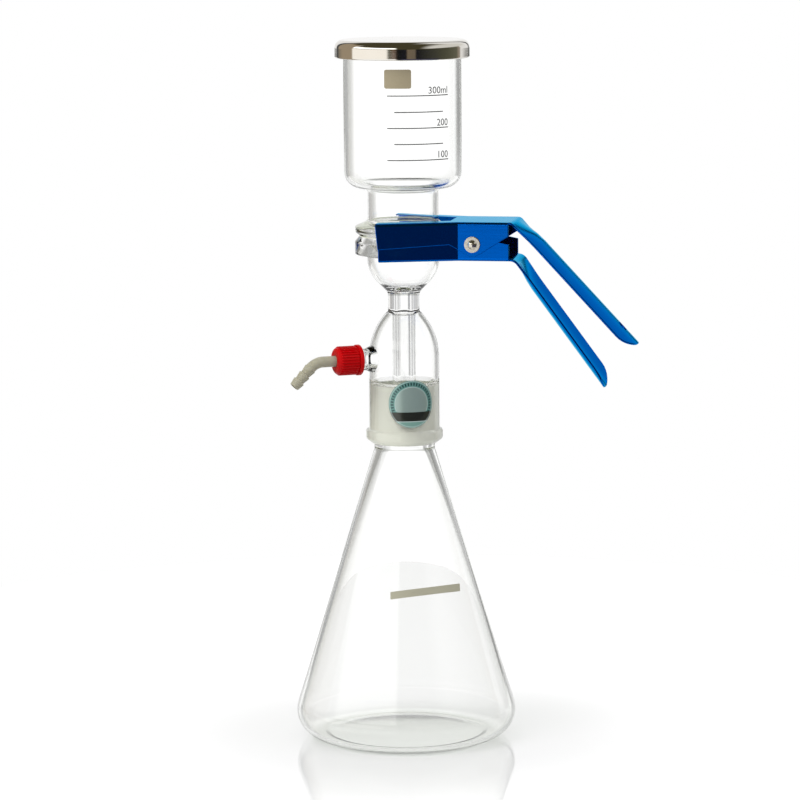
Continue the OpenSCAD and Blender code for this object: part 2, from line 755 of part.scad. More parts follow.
module clamp_upper_half() {
    bend_r = upper_bend_r + sheet_t;
    hole = handle_path(bend_r * upper_handle_a * PI / 180 + upper_handle_l - hang_hole_in,
        bend_r, upper_handle_a);
    color("royalblue") difference() {
        union() {
            intersection() {
                translate([0, 0, upper_top_z]) folded_sheet(rear_half_w, upper_arm_d);
                across() upper_outline();
            }
            translate([rear_x, 0, upper_top_z])
                handle(rear_half_w - fold_r, upper_handle_l, upper_handle_a, bend_r, 1);
        }
        pin_hole();
        translate([rear_x + hole[0], 0, upper_top_z + hole[1]]) rotate([0, upper_handle_a, 0])
            cylinder(d = hang_hole_d, h = 4 * handle_arch, center = true);
    }
}

module clamp_lower_half() {
    color("royalblue") difference() {
        union() {
            intersection() {
                translate([0, 0, lower_under_z]) mirror([0, 0, 1])
                    folded_sheet(lower_half_w, lower_arm_d);
                across() lower_outline();
            }
            translate([rear_x, 0, lower_under_z])
                handle(lower_half_w - fold_r, lower_handle_l, lower_handle_a, lower_bend_r, -1);
        }
        pin_hole();
    }
}

module pivot_pin() {
    grip = rear_half_w + washer_t;
    dome = [for (p = cap_arc(pin_head_r, grip, pin_head_h)) p];
    color("silver") translate([pivot_x, 0, pivot_z]) rotate([90, 0, 0])
        rotate_extrude() polygon(concat(
            reversed([for (p = dome) [p[0], -p[1]]]),
            [[pin_r, -grip], [pin_r, grip]],
            dome
        ));
}

module pivot_washers() {
    color("gainsboro") for (side = [-1, 1])
        translate([pivot_x, side * (rear_half_w + washer_t / 2), pivot_z]) rotate([90, 0, 0])
            difference() {
                cylinder(r = washer_r, h = washer_t, center = true);
                cylinder(r = pin_r + pin_fit, h = 2 * washer_t, center = true);
            }
}

// Torsion spring: a coil round the pin, and two legs that push the plates apart.
// Its path runs in the XZ plane, relative to the pin, and creeps along Y in the coil.
function spring_path() =
    let (inset = sheet_t + leg_gap + wire_r,
        high = [leg_reach, upper_top_z - inset - pivot_z],
        low = [leg_reach, lower_under_z + inset - pivot_z],
        a0 = tangent_left(high, [0, 0], coil_r) - 90,
        a1 = tangent_left(low, [0, 0], coil_r) + 90,
        first = a0 - 360 * floor(a0 / 360),
        last = a1 - 360 * floor(a1 / 360) + 360 * coil_turns,
        creep = (2 * wire_r + coil_gap) / 360,
        half = creep * (last - first) / 2,
        steps = 16 * (coil_turns + 1))
    concat([[high[0], -half, high[1]]],
        [for (i = [0:steps]) let (a = first + (last - first) * i / steps)
            [coil_r * cos(a), -half + creep * (a - first), coil_r * sin(a)]],
        [[low[0], half, low[1]]]);

module clamp_spring() {
    path = spring_path();
    count = len(path);
    sides = 8;
    points = [for (i = [0:count - 1])
        let (ahead = path[min(i + 1, count - 1)] - path[max(i - 1, 0)],
            t = ahead / norm(ahead),
            across_dir = cross(t, [0, 1, 0]),
            u = across_dir / norm(across_dir),
            v = cross(t, u))
        for (j = [0:sides - 1]) path[i] + wire_r * (cos(360 * j / sides) * u
            + sin(360 * j / sides) * v)];
    faces = concat(
        [[for (j = [0:sides - 1]) j]],
        [for (i = [0:count - 2], j = [0:sides - 1])
            let (a = i * sides + j, b = i * sides + (j + 1) % sides)
            each [[b, a, a + sides], [b, a + sides, b + sides]]],
        [[for (j = [sides - 1:-1:0]) (count - 1) * sides + j]]
    );
    color("silver") translate([pivot_x, 0, pivot_z]) polyhedron(points, faces);
}

// ---- Label ----

module round_label() {
    in_r = chamber_r + label_glue;
    // a flat disc's outline as it looks once the disc is wrapped round the socket
    outline = [for (a = [5:10:355]) let (wrap = label_d / 2 * sin(a) / in_r * 180 / PI)
        [label_d / 2 * cos(a), (in_r + label_t / 2) * sin(wrap)]];
    color("cadetblue") rotate([0, 0, label_azimuth]) intersection() {
        rotate_extrude(angle = 120, start = -60)
            translate([in_r, flask_joint_z + label_h - label_d]) square([label_t, 2 * label_d]);
        translate([0, 0, flask_joint_z + label_h]) rotate([0, 90, 0])
            linear_extrude(big) polygon(outline);
    }
}

receiver_flask();
filter_base();
side_port();
sintered_disc();
membrane_filter();
funnel();
lid();
clamp_upper_half();
clamp_lower_half();
pivot_pin();
pivot_washers();
clamp_spring();
screw_cap();
port_seal();
hose_connector();
round_label();
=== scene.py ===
# %% [markdown]
# # A vacuum filtration unit, piece by piece
# The object is laboratory glassware: a conical receiver flask, a filter base with a side
# port, a graduated funnel with a polished lid, and a sprung clamp of folded sheet metal.
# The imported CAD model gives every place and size. This lesson builds the finished
# surfaces round it: smooth lathed glass, polished steel, blue metal and moulded plastic.

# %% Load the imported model, which stays fixed
import json
import math

import bmesh
import bpy
import numpy as np
from mathutils import Matrix, Vector

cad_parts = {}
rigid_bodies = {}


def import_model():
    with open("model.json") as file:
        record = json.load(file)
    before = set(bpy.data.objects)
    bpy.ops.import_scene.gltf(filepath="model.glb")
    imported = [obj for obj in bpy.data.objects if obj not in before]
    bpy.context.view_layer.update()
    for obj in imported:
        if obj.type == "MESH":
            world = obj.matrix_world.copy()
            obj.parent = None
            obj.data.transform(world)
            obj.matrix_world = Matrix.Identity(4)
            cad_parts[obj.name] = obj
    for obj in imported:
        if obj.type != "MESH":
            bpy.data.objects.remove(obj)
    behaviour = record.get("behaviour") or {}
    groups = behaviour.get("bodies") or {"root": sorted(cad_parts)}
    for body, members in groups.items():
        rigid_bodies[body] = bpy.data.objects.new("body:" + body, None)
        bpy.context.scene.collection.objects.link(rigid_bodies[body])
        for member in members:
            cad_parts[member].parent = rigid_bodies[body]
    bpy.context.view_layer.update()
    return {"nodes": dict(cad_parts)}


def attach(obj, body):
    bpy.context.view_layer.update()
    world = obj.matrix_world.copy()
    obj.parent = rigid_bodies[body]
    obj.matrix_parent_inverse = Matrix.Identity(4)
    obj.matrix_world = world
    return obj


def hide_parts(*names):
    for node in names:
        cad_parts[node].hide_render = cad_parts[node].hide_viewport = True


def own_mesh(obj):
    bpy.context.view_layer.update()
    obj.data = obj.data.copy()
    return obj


for leftover in list(bpy.data.objects):
    bpy.data.objects.remove(leftover)
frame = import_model()

# %% [markdown]
# ## Arithmetic for shaders
# A procedural finish is a formula over the surface. Writing it with single Math nodes is
# slow to read, so a small class wraps a socket and turns Python's operators into Math
# nodes. Anything else, such as a noise or a shader, comes from one generic method.

# %% Sockets that can be added and multiplied
class Value:
    """One number that varies over a surface, held by a node's output socket."""

    def __init__(self, finish, socket):
        self.finish, self.socket = finish, socket

    def _math(self, operation, *terms):
        inputs = dict(enumerate(terms))
        return self.finish.node("ShaderNodeMath", {"operation": operation}, inputs)

    def __add__(self, other):
        return self._math("ADD", self, other)

    def __sub__(self, other):
        return self._math("SUBTRACT", self, other)

    def __rsub__(self, other):
        return self._math("SUBTRACT", other, self)

    def __mul__(self, other):
        return self._math("MULTIPLY", self, other)

    def __truediv__(self, other):
        return self._math("DIVIDE", self, other)

    def __pow__(self, other):
        return self._math("POWER", self, other)

    __radd__, __rmul__ = __add__, __mul__

    def sqrt(self):
        return self._math("SQRT", self)

    def between(self, low, high, soft):
        """1 inside low to high and 0 outside, with ramps of width soft."""
        up = self.finish.ramp(self, low - soft, low + soft)
        down = self.finish.ramp(self, high - soft, high + soft)
        return up * (1 - down)


class Finish:
    """A node tree for one material, or for the world."""

    def __init__(self, name, owner=None):
        self.owner = owner or bpy.data.materials.new(name)
        self.owner.use_nodes = True
        self.tree = self.owner.node_tree
        self.tree.nodes.clear()
        self._object = None

    def node(self, kind, settings=None, inputs=None, output=0):
        """Adds a node: its settings first, then its sockets, then the output wanted."""
        made = self.tree.nodes.new(kind)
        for key, setting in (settings or {}).items():
            if key == "stops":
                while len(made.color_ramp.elements) < len(setting):
                    made.color_ramp.elements.new(0.5)
                for element, (place, colour) in zip(made.color_ramp.elements, setting):
                    element.position, element.color = place, (*colour, 1)
            elif key == "blend":
                made.color_ramp.interpolation = setting
            else:
                setattr(made, key, setting)
        for key, given in (inputs or {}).items():
            socket = made.inputs[key]
            if isinstance(given, Value):
                self.tree.links.new(given.socket, socket)
            elif socket.type == "RGBA" and len(given) == 3:
                socket.default_value = (*given, 1)
            else:
                socket.default_value = given
        return Value(self, made.outputs[output])

    def ramp(self, value, low, high):
        """0 below low and 1 above high, with a smooth step between."""
        return self.node("ShaderNodeMapRange", {"interpolation_type": "SMOOTHSTEP"},
                         {"Value": value, "From Min": low, "From Max": high})

    def mix(self, factor, first, second):
        """A colour between two, by factor."""
        sockets = {0: factor, 6: first, 7: second}
        return self.node("ShaderNodeMix", {"data_type": "RGBA"}, sockets, 2)

    def point(self):
        """Object coordinates, in metres, as one vector."""
        if self._object is None:
            self._object = self.node("ShaderNodeTexCoord", {}, {}, "Object")
        return self._object

    def xyz(self, vector=None):
        """The three parts of a vector, or of the Object coordinates."""
        split = self.node("ShaderNodeSeparateXYZ", {}, {0: vector or self.point()})
        sockets = split.socket.node.outputs
        return [Value(self, sockets[axis]) for axis in "XYZ"]

    def rays(self, *kinds):
        """1 for rays of a kind, such as Is Glossy Ray, and 0 for others."""
        sockets = self.node("ShaderNodeLightPath").socket.node.outputs
        return [Value(self, sockets[kind]) for kind in kinds]

    def noise(self, scale, detail=2.0, rough=0.5, stretch=None):
        """Soft random values about 0.5. stretch squeezes the pattern along X, Y and Z."""
        place = self.point()
        if stretch:
            place = self.node("ShaderNodeMapping", {}, {"Vector": place, "Scale": stretch})
        return self.node("ShaderNodeTexNoise", {}, {
            "Vector": place, "Scale": scale, "Detail": detail, "Roughness": rough})

    def bump(self, height, distance, strength=1.0):
        return self.node("ShaderNodeBump", {}, {
            "Height": height, "Distance": distance, "Strength": strength})

    def principled(self, **sockets):
        """The Principled shader. Underscores stand for the spaces in socket names."""
        named = {key.replace("_", " "): given for key, given in sockets.items()}
        return self.node("ShaderNodeBsdfPrincipled", {}, named)

    def done(self, shader, kind="ShaderNodeOutputMaterial"):
        end = self.tree.nodes.new(kind)
        self.tree.links.new(shader.socket, end.inputs[0])
        return self.owner


print("shader arithmetic is ready")


# %% [markdown]
# ## From numbers to meshes
# Glass is blown against a spinning mould, so nearly every piece is a turned outline.
# An outline is an array of (radius, height) corners in millimetres. Turning it gives a
# grid of points, and one function makes any such grid into a closed mesh.

# %% A grid of points becomes a mesh
MM = 0.001
SHARP = 38  # degrees between faces, over which an edge shades sharp
SAME_PLACE, NO_LENGTH = 2e-7, 1e-8  # metres


def surface(name, grid, finish, wrap_rows=False, wrap_columns=True, sharp=SHARP, uv=None):
    """A mesh of quads over a grid of shape (rows, columns, 3), in millimetres. Rows and
    columns may close on themselves. Points that fall together, as at a pole, are merged."""
    rows, columns = grid.shape[:2]
    i = np.arange(rows if wrap_rows else rows - 1)[:, None]
    j = np.arange(columns if wrap_columns else columns - 1)[None, :]
    below, right = (i + 1) % rows, (j + 1) % columns
    quads = np.stack(np.broadcast_arrays(
        i * columns + j, below * columns + j, below * columns + right, i * columns + right), -1)
    mesh = bpy.data.meshes.new(name)
    mesh.from_pydata(grid.reshape(-1, 3) * MM, [], quads.reshape(-1, 4))
    if uv is not None:
        layer = mesh.uv_layers.new(name="plane")
        corner = np.empty(len(mesh.loops), np.int32)
        mesh.loops.foreach_get("vertex_index", corner)
        layer.data.foreach_set("uv", uv.reshape(-1, 2)[corner].astype(np.float32).ravel())
    return finished(name, mesh, finish, sharp)


def finished(name, mesh, finish, sharp=SHARP):
    """Merges doubles, points the faces outwards, shades them smooth but for edges over
    sharp degrees, and returns the object with its finish."""
    work = bmesh.new()
    work.from_mesh(mesh)
    bmesh.ops.remove_doubles(work, verts=work.verts, dist=SAME_PLACE)
    bmesh.ops.dissolve_degenerate(work, edges=work.edges, dist=NO_LENGTH)
    bmesh.ops.recalc_face_normals(work, faces=work.faces)
    work.to_mesh(mesh)
    work.free()
    mesh.shade_smooth()
    mesh.set_sharp_from_angle(angle=math.radians(sharp))
    piece = bpy.data.objects.new(name, mesh)
    bpy.context.scene.collection.objects.link(piece)
    mesh.materials.append(finish)
    print(name, len(mesh.polygons), "faces")
    return piece


# %% Outlines: arcs, rounded corners and turning
def arc(cx, cz, radius, start, end, steps=24):
    """Points (cx + radius cos a, cz + radius sin a) as a runs from start to end degrees."""
    a = np.radians(np.linspace(start, end, steps))
    return np.stack([cx + radius * np.cos(a), cz + radius * np.sin(a)], -1)


def corner(r, z, cut=0.0):
    """One corner, whose rounding starts cut millimetres before it."""
    return np.array([[r, z, cut]], float)


def rounded(*parts, steps=6):
    """Joins arcs and corners into one outline. A corner P with a cut becomes the curve
    (1-t)^2 A + 2t(1-t) P + t^2 B, where A and B lie cut away from P on its two sides."""
    full = np.vstack([np.pad(p, ((0, 0), (0, 3 - p.shape[1]))) for p in parts])
    p, cut = full[:, :2], full[:, 2:]
    back, ahead = np.roll(p, 1, 0) - p, np.roll(p, -1, 0) - p
    lengths = [np.maximum(np.linalg.norm(v, axis=1, keepdims=True), 1e-9) for v in (back, ahead)]
    start = (p + back / lengths[0] * np.minimum(cut, 0.49 * lengths[0]))[:, None]
    end = (p + ahead / lengths[1] * np.minimum(cut, 0.49 * lengths[1]))[:, None]
    t = np.linspace(0, 1, steps)[None, :, None]
    curve = ((1 - t) ** 2 * start + 2 * t * (1 - t) * p[:, None] + t ** 2 * end).reshape(-1, 2)
    curve = curve[np.linalg.norm(curve - np.roll(curve, 1, 0), axis=1) > 2e-4]
    return with_holding_points(curve)


def with_holding_points(curve, near=0.18, long=1.5):
    """Adds two points to every straight stretch over long millimetres, near its ends. They
    keep smooth shading flat along it, so that it only turns inside the rounding."""
    ahead = np.roll(curve, -1, 0) - curve
    length = np.linalg.norm(ahead, axis=1)
    off_axis = (curve[:, 0] > 1e-6) | (np.roll(curve, -1, 0)[:, 0] > 1e-6)
    share = np.where((length > long) & off_axis, near / np.maximum(length, near), 0)[:, None]
    full = np.stack([curve, curve + ahead * share, curve + ahead * (1 - share)], 1)
    keep = np.stack([share[:, 0] >= 0, share[:, 0] > 0, share[:, 0] > 0], 1)
    return full[keep]


def turned(outline, sides=240):
    """The grid (r cos a, r sin a, z) for every outline point and every angle a."""
    a = np.linspace(0, 2 * math.pi, sides, endpoint=False)
    r, z = outline[:, :1], outline[:, 1:]
    return np.stack([r * np.cos(a), r * np.sin(a), z + 0 * a], -1)


def touching(p, centre, radius, side):
    """Angle, in degrees, of the line from p that touches a circle on its left or right."""
    dx, dz = centre[0] - p[0], centre[1] - p[1]
    return math.degrees(math.atan2(dz, dx) + side * math.asin(radius / math.hypot(dx, dz)))


print("outline helpers are ready")

# %% [markdown]
# ## Clear and ground glass
# Borosilicate glass refracts with an index of 1.47 and is a little green where one looks
# along the wall. At a glancing angle its colour is also darkened well past that green: a
# painted shade that draws dark lines inside the glass's edges. The ground joint and the
# sealing faces are roughened by grinding. Both are one shader: the roughness follows a mask
# over the piece's own coordinates. Lamps reach what is behind the glass because shadow rays
# meet a clear shader instead.

# %% The glass shader
GLASS_CLEAR = (0.998, 1.0, 0.997)
GLASS_EDGE_GREEN_AND_SHADE = (0.42, 0.46, 0.36)
GLASS_INDEX = 1.47
GROUND_ROUGHNESS, GROUND_SHARE = 0.5, 0.84
GRAIN_SCALE, RIPPLE_SCALE = 1800, 30


def glass(name, ground):
    """Clear glass with ground zones. ground is a function of the finish, the distance
    from the axis and the height, both in metres, and gives the mask. Ground glass
    scatters, so a share of a matt cream shader is mixed in where the mask is."""
    f = Finish(name)
    x, y, z = f.xyz()
    mask = ground(f, (x * x + y * y).sqrt(), z)
    facing = f.node("ShaderNodeLayerWeight", {}, {"Blend": 0.5}, "Facing")
    # Colour by angle: green along the wall, and darkened there as painted shade that draws the
    # edge lines.
    tint = f.mix(facing ** 5, GLASS_CLEAR, GLASS_EDGE_GREEN_AND_SHADE)
    ripple = f.noise(RIPPLE_SCALE, 1.0, 0.4, (1, 1, 0.35))
    body = f.principled(Base_Color=tint, Roughness=mask * GROUND_ROUGHNESS,
                        IOR=GLASS_INDEX, Transmission_Weight=1.0,
                        Normal=f.bump(ripple, 0.0003, 0.3))
    powder = f.noise(GRAIN_SCALE, 3, 0.6)
    matt = f.principled(Base_Color=f.mix(powder, (0.80, 0.80, 0.71), (0.86, 0.86, 0.78)),
                        Roughness=powder * 0.2 + 0.7)
    body = f.node("ShaderNodeMixShader", {}, {0: mask * GROUND_SHARE, 1: body, 2: matt})
    through = f.node("ShaderNodeBsdfTransparent", {}, {"Color": (0.86, 0.88, 0.85)})
    lamp = f.node("ShaderNodeLightPath", {}, {}, "Is Shadow Ray")
    return f.done(f.node("ShaderNodeMixShader", {}, {0: lamp, 1: body, 2: through}))


# %% [markdown]
# ## The receiver flask
# A conical flask has a heavy rounded foot, a base pushed up in the middle, straight
# sides and a ground cone that enters the filter base. Its outline starts on the axis
# under the punt, runs up the outside, over the cone's rim and back down inside. The CAD
# wall is even; here it also thickens inwards below the neck, as blown glass does.

# %% Flask sizes, in millimetres, and its wall line
FLASK_R, FLASK_CORNER, FLASK_WALL = 71.0, 17.5, 2.4
FOOT_W, PUNT_H = 3.0, 3.0
JOINT_Z, JOINT_R, JOINT_LEN = 192.7, 20.0, 38.0
FLASK_NECK = (19.3, 190.0)
CONE_R = JOINT_R - 0.05
CONE_TOP_R = CONE_R - 0.05 * JOINT_LEN


def flask_side(inset):
    """The flask's side, inset by some millimetres: the foot's arc, then the neck."""
    centre = (FLASK_R - FLASK_CORNER, FLASK_CORNER)
    a = touching(FLASK_NECK, centre, FLASK_CORNER, 1) + 90
    foot = arc(*centre, FLASK_CORNER - inset, -90, a, 40)
    neck = corner(FLASK_NECK[0] - inset / math.cos(math.radians(a)), FLASK_NECK[1], 2.5)
    if inset:
        neck = thickened(foot[-1], neck[0, :2])
    return foot, neck


def thickened(low, high, extra=2.6, steps=24):
    """The straight inner side from low to high, pushed inwards by extra t^5: t is 0 at
    the foot and 1 at the neck, where blown glass stays thick."""
    t = np.linspace(0, 1, steps)[1:, None]
    return low + t * (high - low) - [extra, 0] * t ** 5


def punt(radius, z, height, steps=24):
    """A shallow cap from the given radius and height above the table to the axis."""
    big = (radius ** 2 + height ** 2) / (2 * height)
    a = math.degrees(math.asin(radius / big))
    return arc(0, z + height - big, big, 90 - a, 90, steps)


# %% Turn the flask
foot_out = FLASK_R - FLASK_CORNER
outer, outer_neck = flask_side(0)
inner, inner_neck = flask_side(FLASK_WALL)
flask_outline = rounded(
    punt(foot_out - FOOT_W, 0, PUNT_H)[::-1], outer, outer_neck,
    corner(CONE_R, JOINT_Z, 0.3), corner(CONE_TOP_R, JOINT_Z + JOINT_LEN, 0.8),
    corner(CONE_TOP_R - FLASK_WALL, JOINT_Z + JOINT_LEN, 0.8),
    inner_neck[::-1], inner[::-1], punt(foot_out, FLASK_WALL, PUNT_H))
CONE_GROUND, CONE_OUTSIDE = (0.1928, 0.2306, 0.0004), (0.0172, 0.0176)  # metres
flask_glass = glass("flask_glass", lambda f, r, z: (
    z.between(*CONE_GROUND) * f.ramp(r, *CONE_OUTSIDE)))
flask = surface("flask", turned(flask_outline), flask_glass)
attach(flask, "glassware")
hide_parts("receiver_flask")

# %% [markdown]
# ## The filter base
# This piece is blown in stages: a socket with a bead, a domed vacuum chamber with a drip
# stem inside it, a thick capillary neck, and a bowl with a ground flange that holds the
# sintered disc. The side port is fused on, so it is turned by itself about its own axis,
# joined to the wall by a Boolean, and bored through by another.

# %% Filter base sizes and its outline
CHAMBER_R, BASE_WALL, DOME_R = 22.7, 2.2, 44.0
CHAMBER_TOP = JOINT_Z + 54.8
DRIP_R, DRAIN_R, DRIP_TIP = 7.5, 4.2, JOINT_Z + 13
NECK_R, BOWL_R, BOWL_Z = 10.1, 23.4, CHAMBER_TOP + 65.5
FLANGE_Z, FLANGE_R, FLANGE_EDGE = BOWL_Z + 2, 31.0, 8.2
SEAM_Z = FLANGE_Z + FLANGE_EDGE + 3.5
SEAL_R, DISC_R, DISC_T = 28.0, 20.35, 4.2


def dome(inset, radius):
    """The chamber's dome, inset by some millimetres, from its wall up to a radius."""
    cx = CHAMBER_R - DOME_R
    return arc(cx, CHAMBER_TOP, DOME_R - inset, 0,
               math.degrees(math.acos((radius - cx) / (DOME_R - inset))), 30)


bowl_inner = BOWL_R - BASE_WALL
bowl_low = -50.0
blend_r = BOWL_R * math.cos(math.radians(bowl_low))
blend_z = BOWL_Z + BOWL_R * math.sin(math.radians(bowl_low))
dome_outer, dome_inner = dome(0, NECK_R + 1.6), dome(BASE_WALL, DRIP_R + 2)
base_outline = rounded(
    corner(JOINT_R, JOINT_Z, 0.5), corner(JOINT_R + 1, JOINT_Z, 0.6),
    corner(24.8, JOINT_Z + 3, 1.2), corner(24.8, JOINT_Z + 8.5, 1.2),
    corner(CHAMBER_R, JOINT_Z + 9.5, 0.8), dome_outer,
    corner(NECK_R, dome_outer[-1][1] + 1.2, 1.0), corner(NECK_R, blend_z - blend_r + NECK_R, 2.5),
    arc(0, BOWL_Z, BOWL_R, bowl_low, 0, 30), corner(BOWL_R, FLANGE_Z - 1.3, 0.4),
    corner(BOWL_R + 0.6, FLANGE_Z - 0.7, 0.3), corner(FLANGE_R, FLANGE_Z, 0.8),
    corner(FLANGE_R, SEAM_Z - 3.5, 1.0), corner(SEAL_R, SEAM_Z, 0.3),
    corner(DISC_R, SEAM_Z), corner(DISC_R, SEAM_Z - DISC_T),
    corner(DISC_R - 2, SEAM_Z - DISC_T, 0.5), corner(bowl_inner, SEAM_Z - DISC_T - 6.5, 2.0),
    arc(0, BOWL_Z, bowl_inner, 0, -math.degrees(math.acos(DRAIN_R / bowl_inner)), 30),
    corner(DRAIN_R, DRIP_TIP, 0.4), corner(DRIP_R - 1, DRIP_TIP, 0.8),
    corner(DRIP_R, DRIP_TIP + 1.4, 0.8), corner(DRIP_R, dome_inner[-1][1], 1.2),
    dome_inner[::-1], corner(CHAMBER_R - BASE_WALL, JOINT_Z + JOINT_LEN + 2.4, 1.2),
    corner(JOINT_R - 0.05 * JOINT_LEN, JOINT_Z + JOINT_LEN, 0.8))

# %% Turn the base, fuse the port on and bore it
PORT_AZIMUTH, PORT_Z = 212.3, JOINT_Z + 55.1
PORT_R, PORT_BORE, PORT_END = 6.9, 4.4, 41.3


def on_port(grid):
    """Takes a grid about +Z to the port's axis: +Z points out of the port, +X down."""
    a = math.radians(PORT_AZIMUTH)
    x, y, z = np.moveaxis(grid, -1, 0)
    return np.stack([z * math.cos(a) - y * math.sin(a),
                     z * math.sin(a) + y * math.cos(a), PORT_Z - x], -1)


def cut_or_join(piece, tool, operation):
    """Applies a Boolean with a tool mesh, which is then thrown away."""
    change = piece.modifiers.new("shape", "BOOLEAN")
    change.operation, change.solver, change.object = operation, "EXACT", tool
    shaped = bpy.data.meshes.new_from_object(piece.evaluated_get(
        bpy.context.evaluated_depsgraph_get()))
    piece.modifiers.remove(change)
    piece.data = shaped
    bpy.data.objects.remove(tool)


SOCKET_GROUND, SOCKET_INSIDE = (0.1924, 0.2308, 0.0004), (0.0206, 0.0202)  # metres
BASE_SEAL = (0.3265, 0.3269, 0.0001)
base_glass = glass("base_glass", lambda f, r, z: (
    z.between(*SOCKET_GROUND) * f.ramp(r, *SOCKET_INSIDE) + z.between(*BASE_SEAL)))
base = surface("filter_base_glass", turned(base_outline), base_glass, wrap_rows=True)
port_outline = rounded(
    corner(0, 20.3), corner(PORT_R + 1.6, 20.3), corner(PORT_R + 1.6, CHAMBER_R + 0.4, 1.0),
    corner(PORT_R, CHAMBER_R + 4, 2.0), corner(PORT_R, PORT_END, 0.6), corner(0, PORT_END))
bore_outline = rounded(corner(0, 12), corner(PORT_BORE, 12), corner(PORT_BORE, PORT_END + 1),
                       corner(0, PORT_END + 1))
cut_or_join(base, surface("tool", on_port(turned(port_outline, 96)), base_glass), "UNION")
cut_or_join(base, surface("tool", on_port(turned(bore_outline, 96)), base_glass), "DIFFERENCE")

# %% Merge the slivers that the Booleans leave, and shade the result
SLIVER = 2e-6  # metres
work = bmesh.new()
work.from_mesh(base.data)
bmesh.ops.remove_doubles(work, verts=work.verts, dist=SLIVER)
bmesh.ops.dissolve_degenerate(work, dist=SLIVER, edges=work.edges)
bmesh.ops.triangulate(work, faces=[face for face in work.faces if len(face.verts) > 4])
bmesh.ops.dissolve_degenerate(work, dist=SLIVER, edges=work.edges)
work.to_mesh(base.data)
work.free()
base.data.shade_smooth()
base.data.set_sharp_from_angle(angle=math.radians(SHARP))
print("filter base with its port:", len(base.data.polygons), "faces")
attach(base, "glassware")
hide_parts("filter_base", "side_port")

# %% [markdown]
# ## The funnel
# A straight cup stands on a narrower neck with a ground flange. Its rim flares into a
# lip. The whole wall is one closed ring of glass, so the outline closes on itself.

# %% Turn the funnel
CUP_R, FUNNEL_WALL, FUNNEL_NECK = 37.6, 2.5, 22.75
FUNNEL_Z, FUNNEL_FLANGE = SEAM_Z + 0.2, 30.75
CUP_FLOOR, RIM_Z = SEAM_Z + 30.8, SEAM_Z + 124.4
CUP_CORNER, NECK_BLEND, LIP_FLARE, LIP_ROUND = 10.5, 4.0, 1.7, 1.25


def funnel_wall(inset):
    """Neck, blend, cup floor, corner and flared lip, inset by some millimetres."""
    return (arc(FUNNEL_NECK + NECK_BLEND, CUP_FLOOR - NECK_BLEND, NECK_BLEND + inset, 180, 90, 16),
            arc(CUP_R - CUP_CORNER, CUP_FLOOR + CUP_CORNER, CUP_CORNER - inset, -90, 0, 28),
            corner(CUP_R - inset, RIM_Z - 9, 3.0),
            corner(CUP_R + LIP_FLARE - inset, RIM_Z - 3.5, 1.5))


lip = CUP_R + LIP_FLARE
funnel_outline = rounded(
    corner(FUNNEL_NECK - FUNNEL_WALL, FUNNEL_Z, 0.3), corner(SEAL_R, FUNNEL_Z, 0.3),
    corner(FUNNEL_FLANGE, FUNNEL_Z + 2.2, 0.8), corner(FUNNEL_FLANGE, FUNNEL_Z + 6.2, 1.2),
    corner(24, FUNNEL_Z + 8.9, 1.0), corner(FUNNEL_NECK, FUNNEL_Z + 10.15, 0.6),
    *funnel_wall(0), arc(lip - LIP_ROUND, RIM_Z - LIP_ROUND, LIP_ROUND, 0, 90, 8),
    arc(lip - LIP_ROUND, RIM_Z - LIP_ROUND, LIP_ROUND, 90, 180, 8),
    *[p[::-1] for p in funnel_wall(FUNNEL_WALL)[::-1]])
FUNNEL_SEAL = (0.3267, 0.3271, 0.0001)  # metres
funnel_glass = glass("funnel_glass", lambda f, r, z: z.between(*FUNNEL_SEAL))
funnel = surface("funnel_glass_cup", turned(funnel_outline), funnel_glass, wrap_rows=True)
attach(funnel, "glassware")
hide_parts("funnel")

# %% [markdown]
# ## The printed scale
# Millilitre marks are fired onto the cup as thin grey enamel, with a tan field above
# them for notes. Each mark is a thin closed strip bent round the glass just outside its
# wall. The numbers are Blender's own letters, made a mesh and bent in the same way.

# %% Enamel, and bending flat drawings round the glass
VIEW_AZIMUTH = -79.7
INK_LIFT, INK_THICK = 0.04, 0.05
UV_SPAN, RINGS = 40, 9  # millimetres that the UV square covers, and rings in a plate


def enamel(name, colour, spots=0.12):
    """Fired print: one flat colour, slightly worn where a fine noise is high."""
    f = Finish(name)
    worn = f.ramp(f.noise(900, 3, 0.6), 0.58, 0.75) * spots
    pale = tuple(min(1.0, 0.5 * part + 0.4) for part in colour)
    return f.done(f.principled(Base_Color=f.mix(worn, colour, pale), Roughness=worn + 0.38))


def bend(u, v, azimuth, radius):
    """Flat (u, v) in millimetres to a turned wall: the angle is azimuth + u / radius, the
    height is v, and radius is one number or one for each point."""
    a = math.radians(azimuth) + u / radius
    return np.stack([radius * np.cos(a), radius * np.sin(a), v], -1)


def plate_on_glass(name, outline, azimuth, height, wall, finish, thick=INK_THICK, lift=INK_LIFT):
    """A thin closed plate with a flat outline of (u, v) points, bent round the wall.
    Rings shrink from the outline to its middle on the outside, and grow back inside."""
    share = np.r_[np.linspace(0, 1, RINGS), np.linspace(1, 0, RINGS)][:, None]
    out = np.r_[np.full(RINGS, lift + thick), np.full(RINGS, lift)][:, None]
    u, v = share * outline[:, 0], share * outline[:, 1]
    grid = bend(u, v + height, azimuth, wall(v + height) + out)
    return surface(name, grid, finish, uv=np.stack([u, v], -1) / UV_SPAN + 0.5)


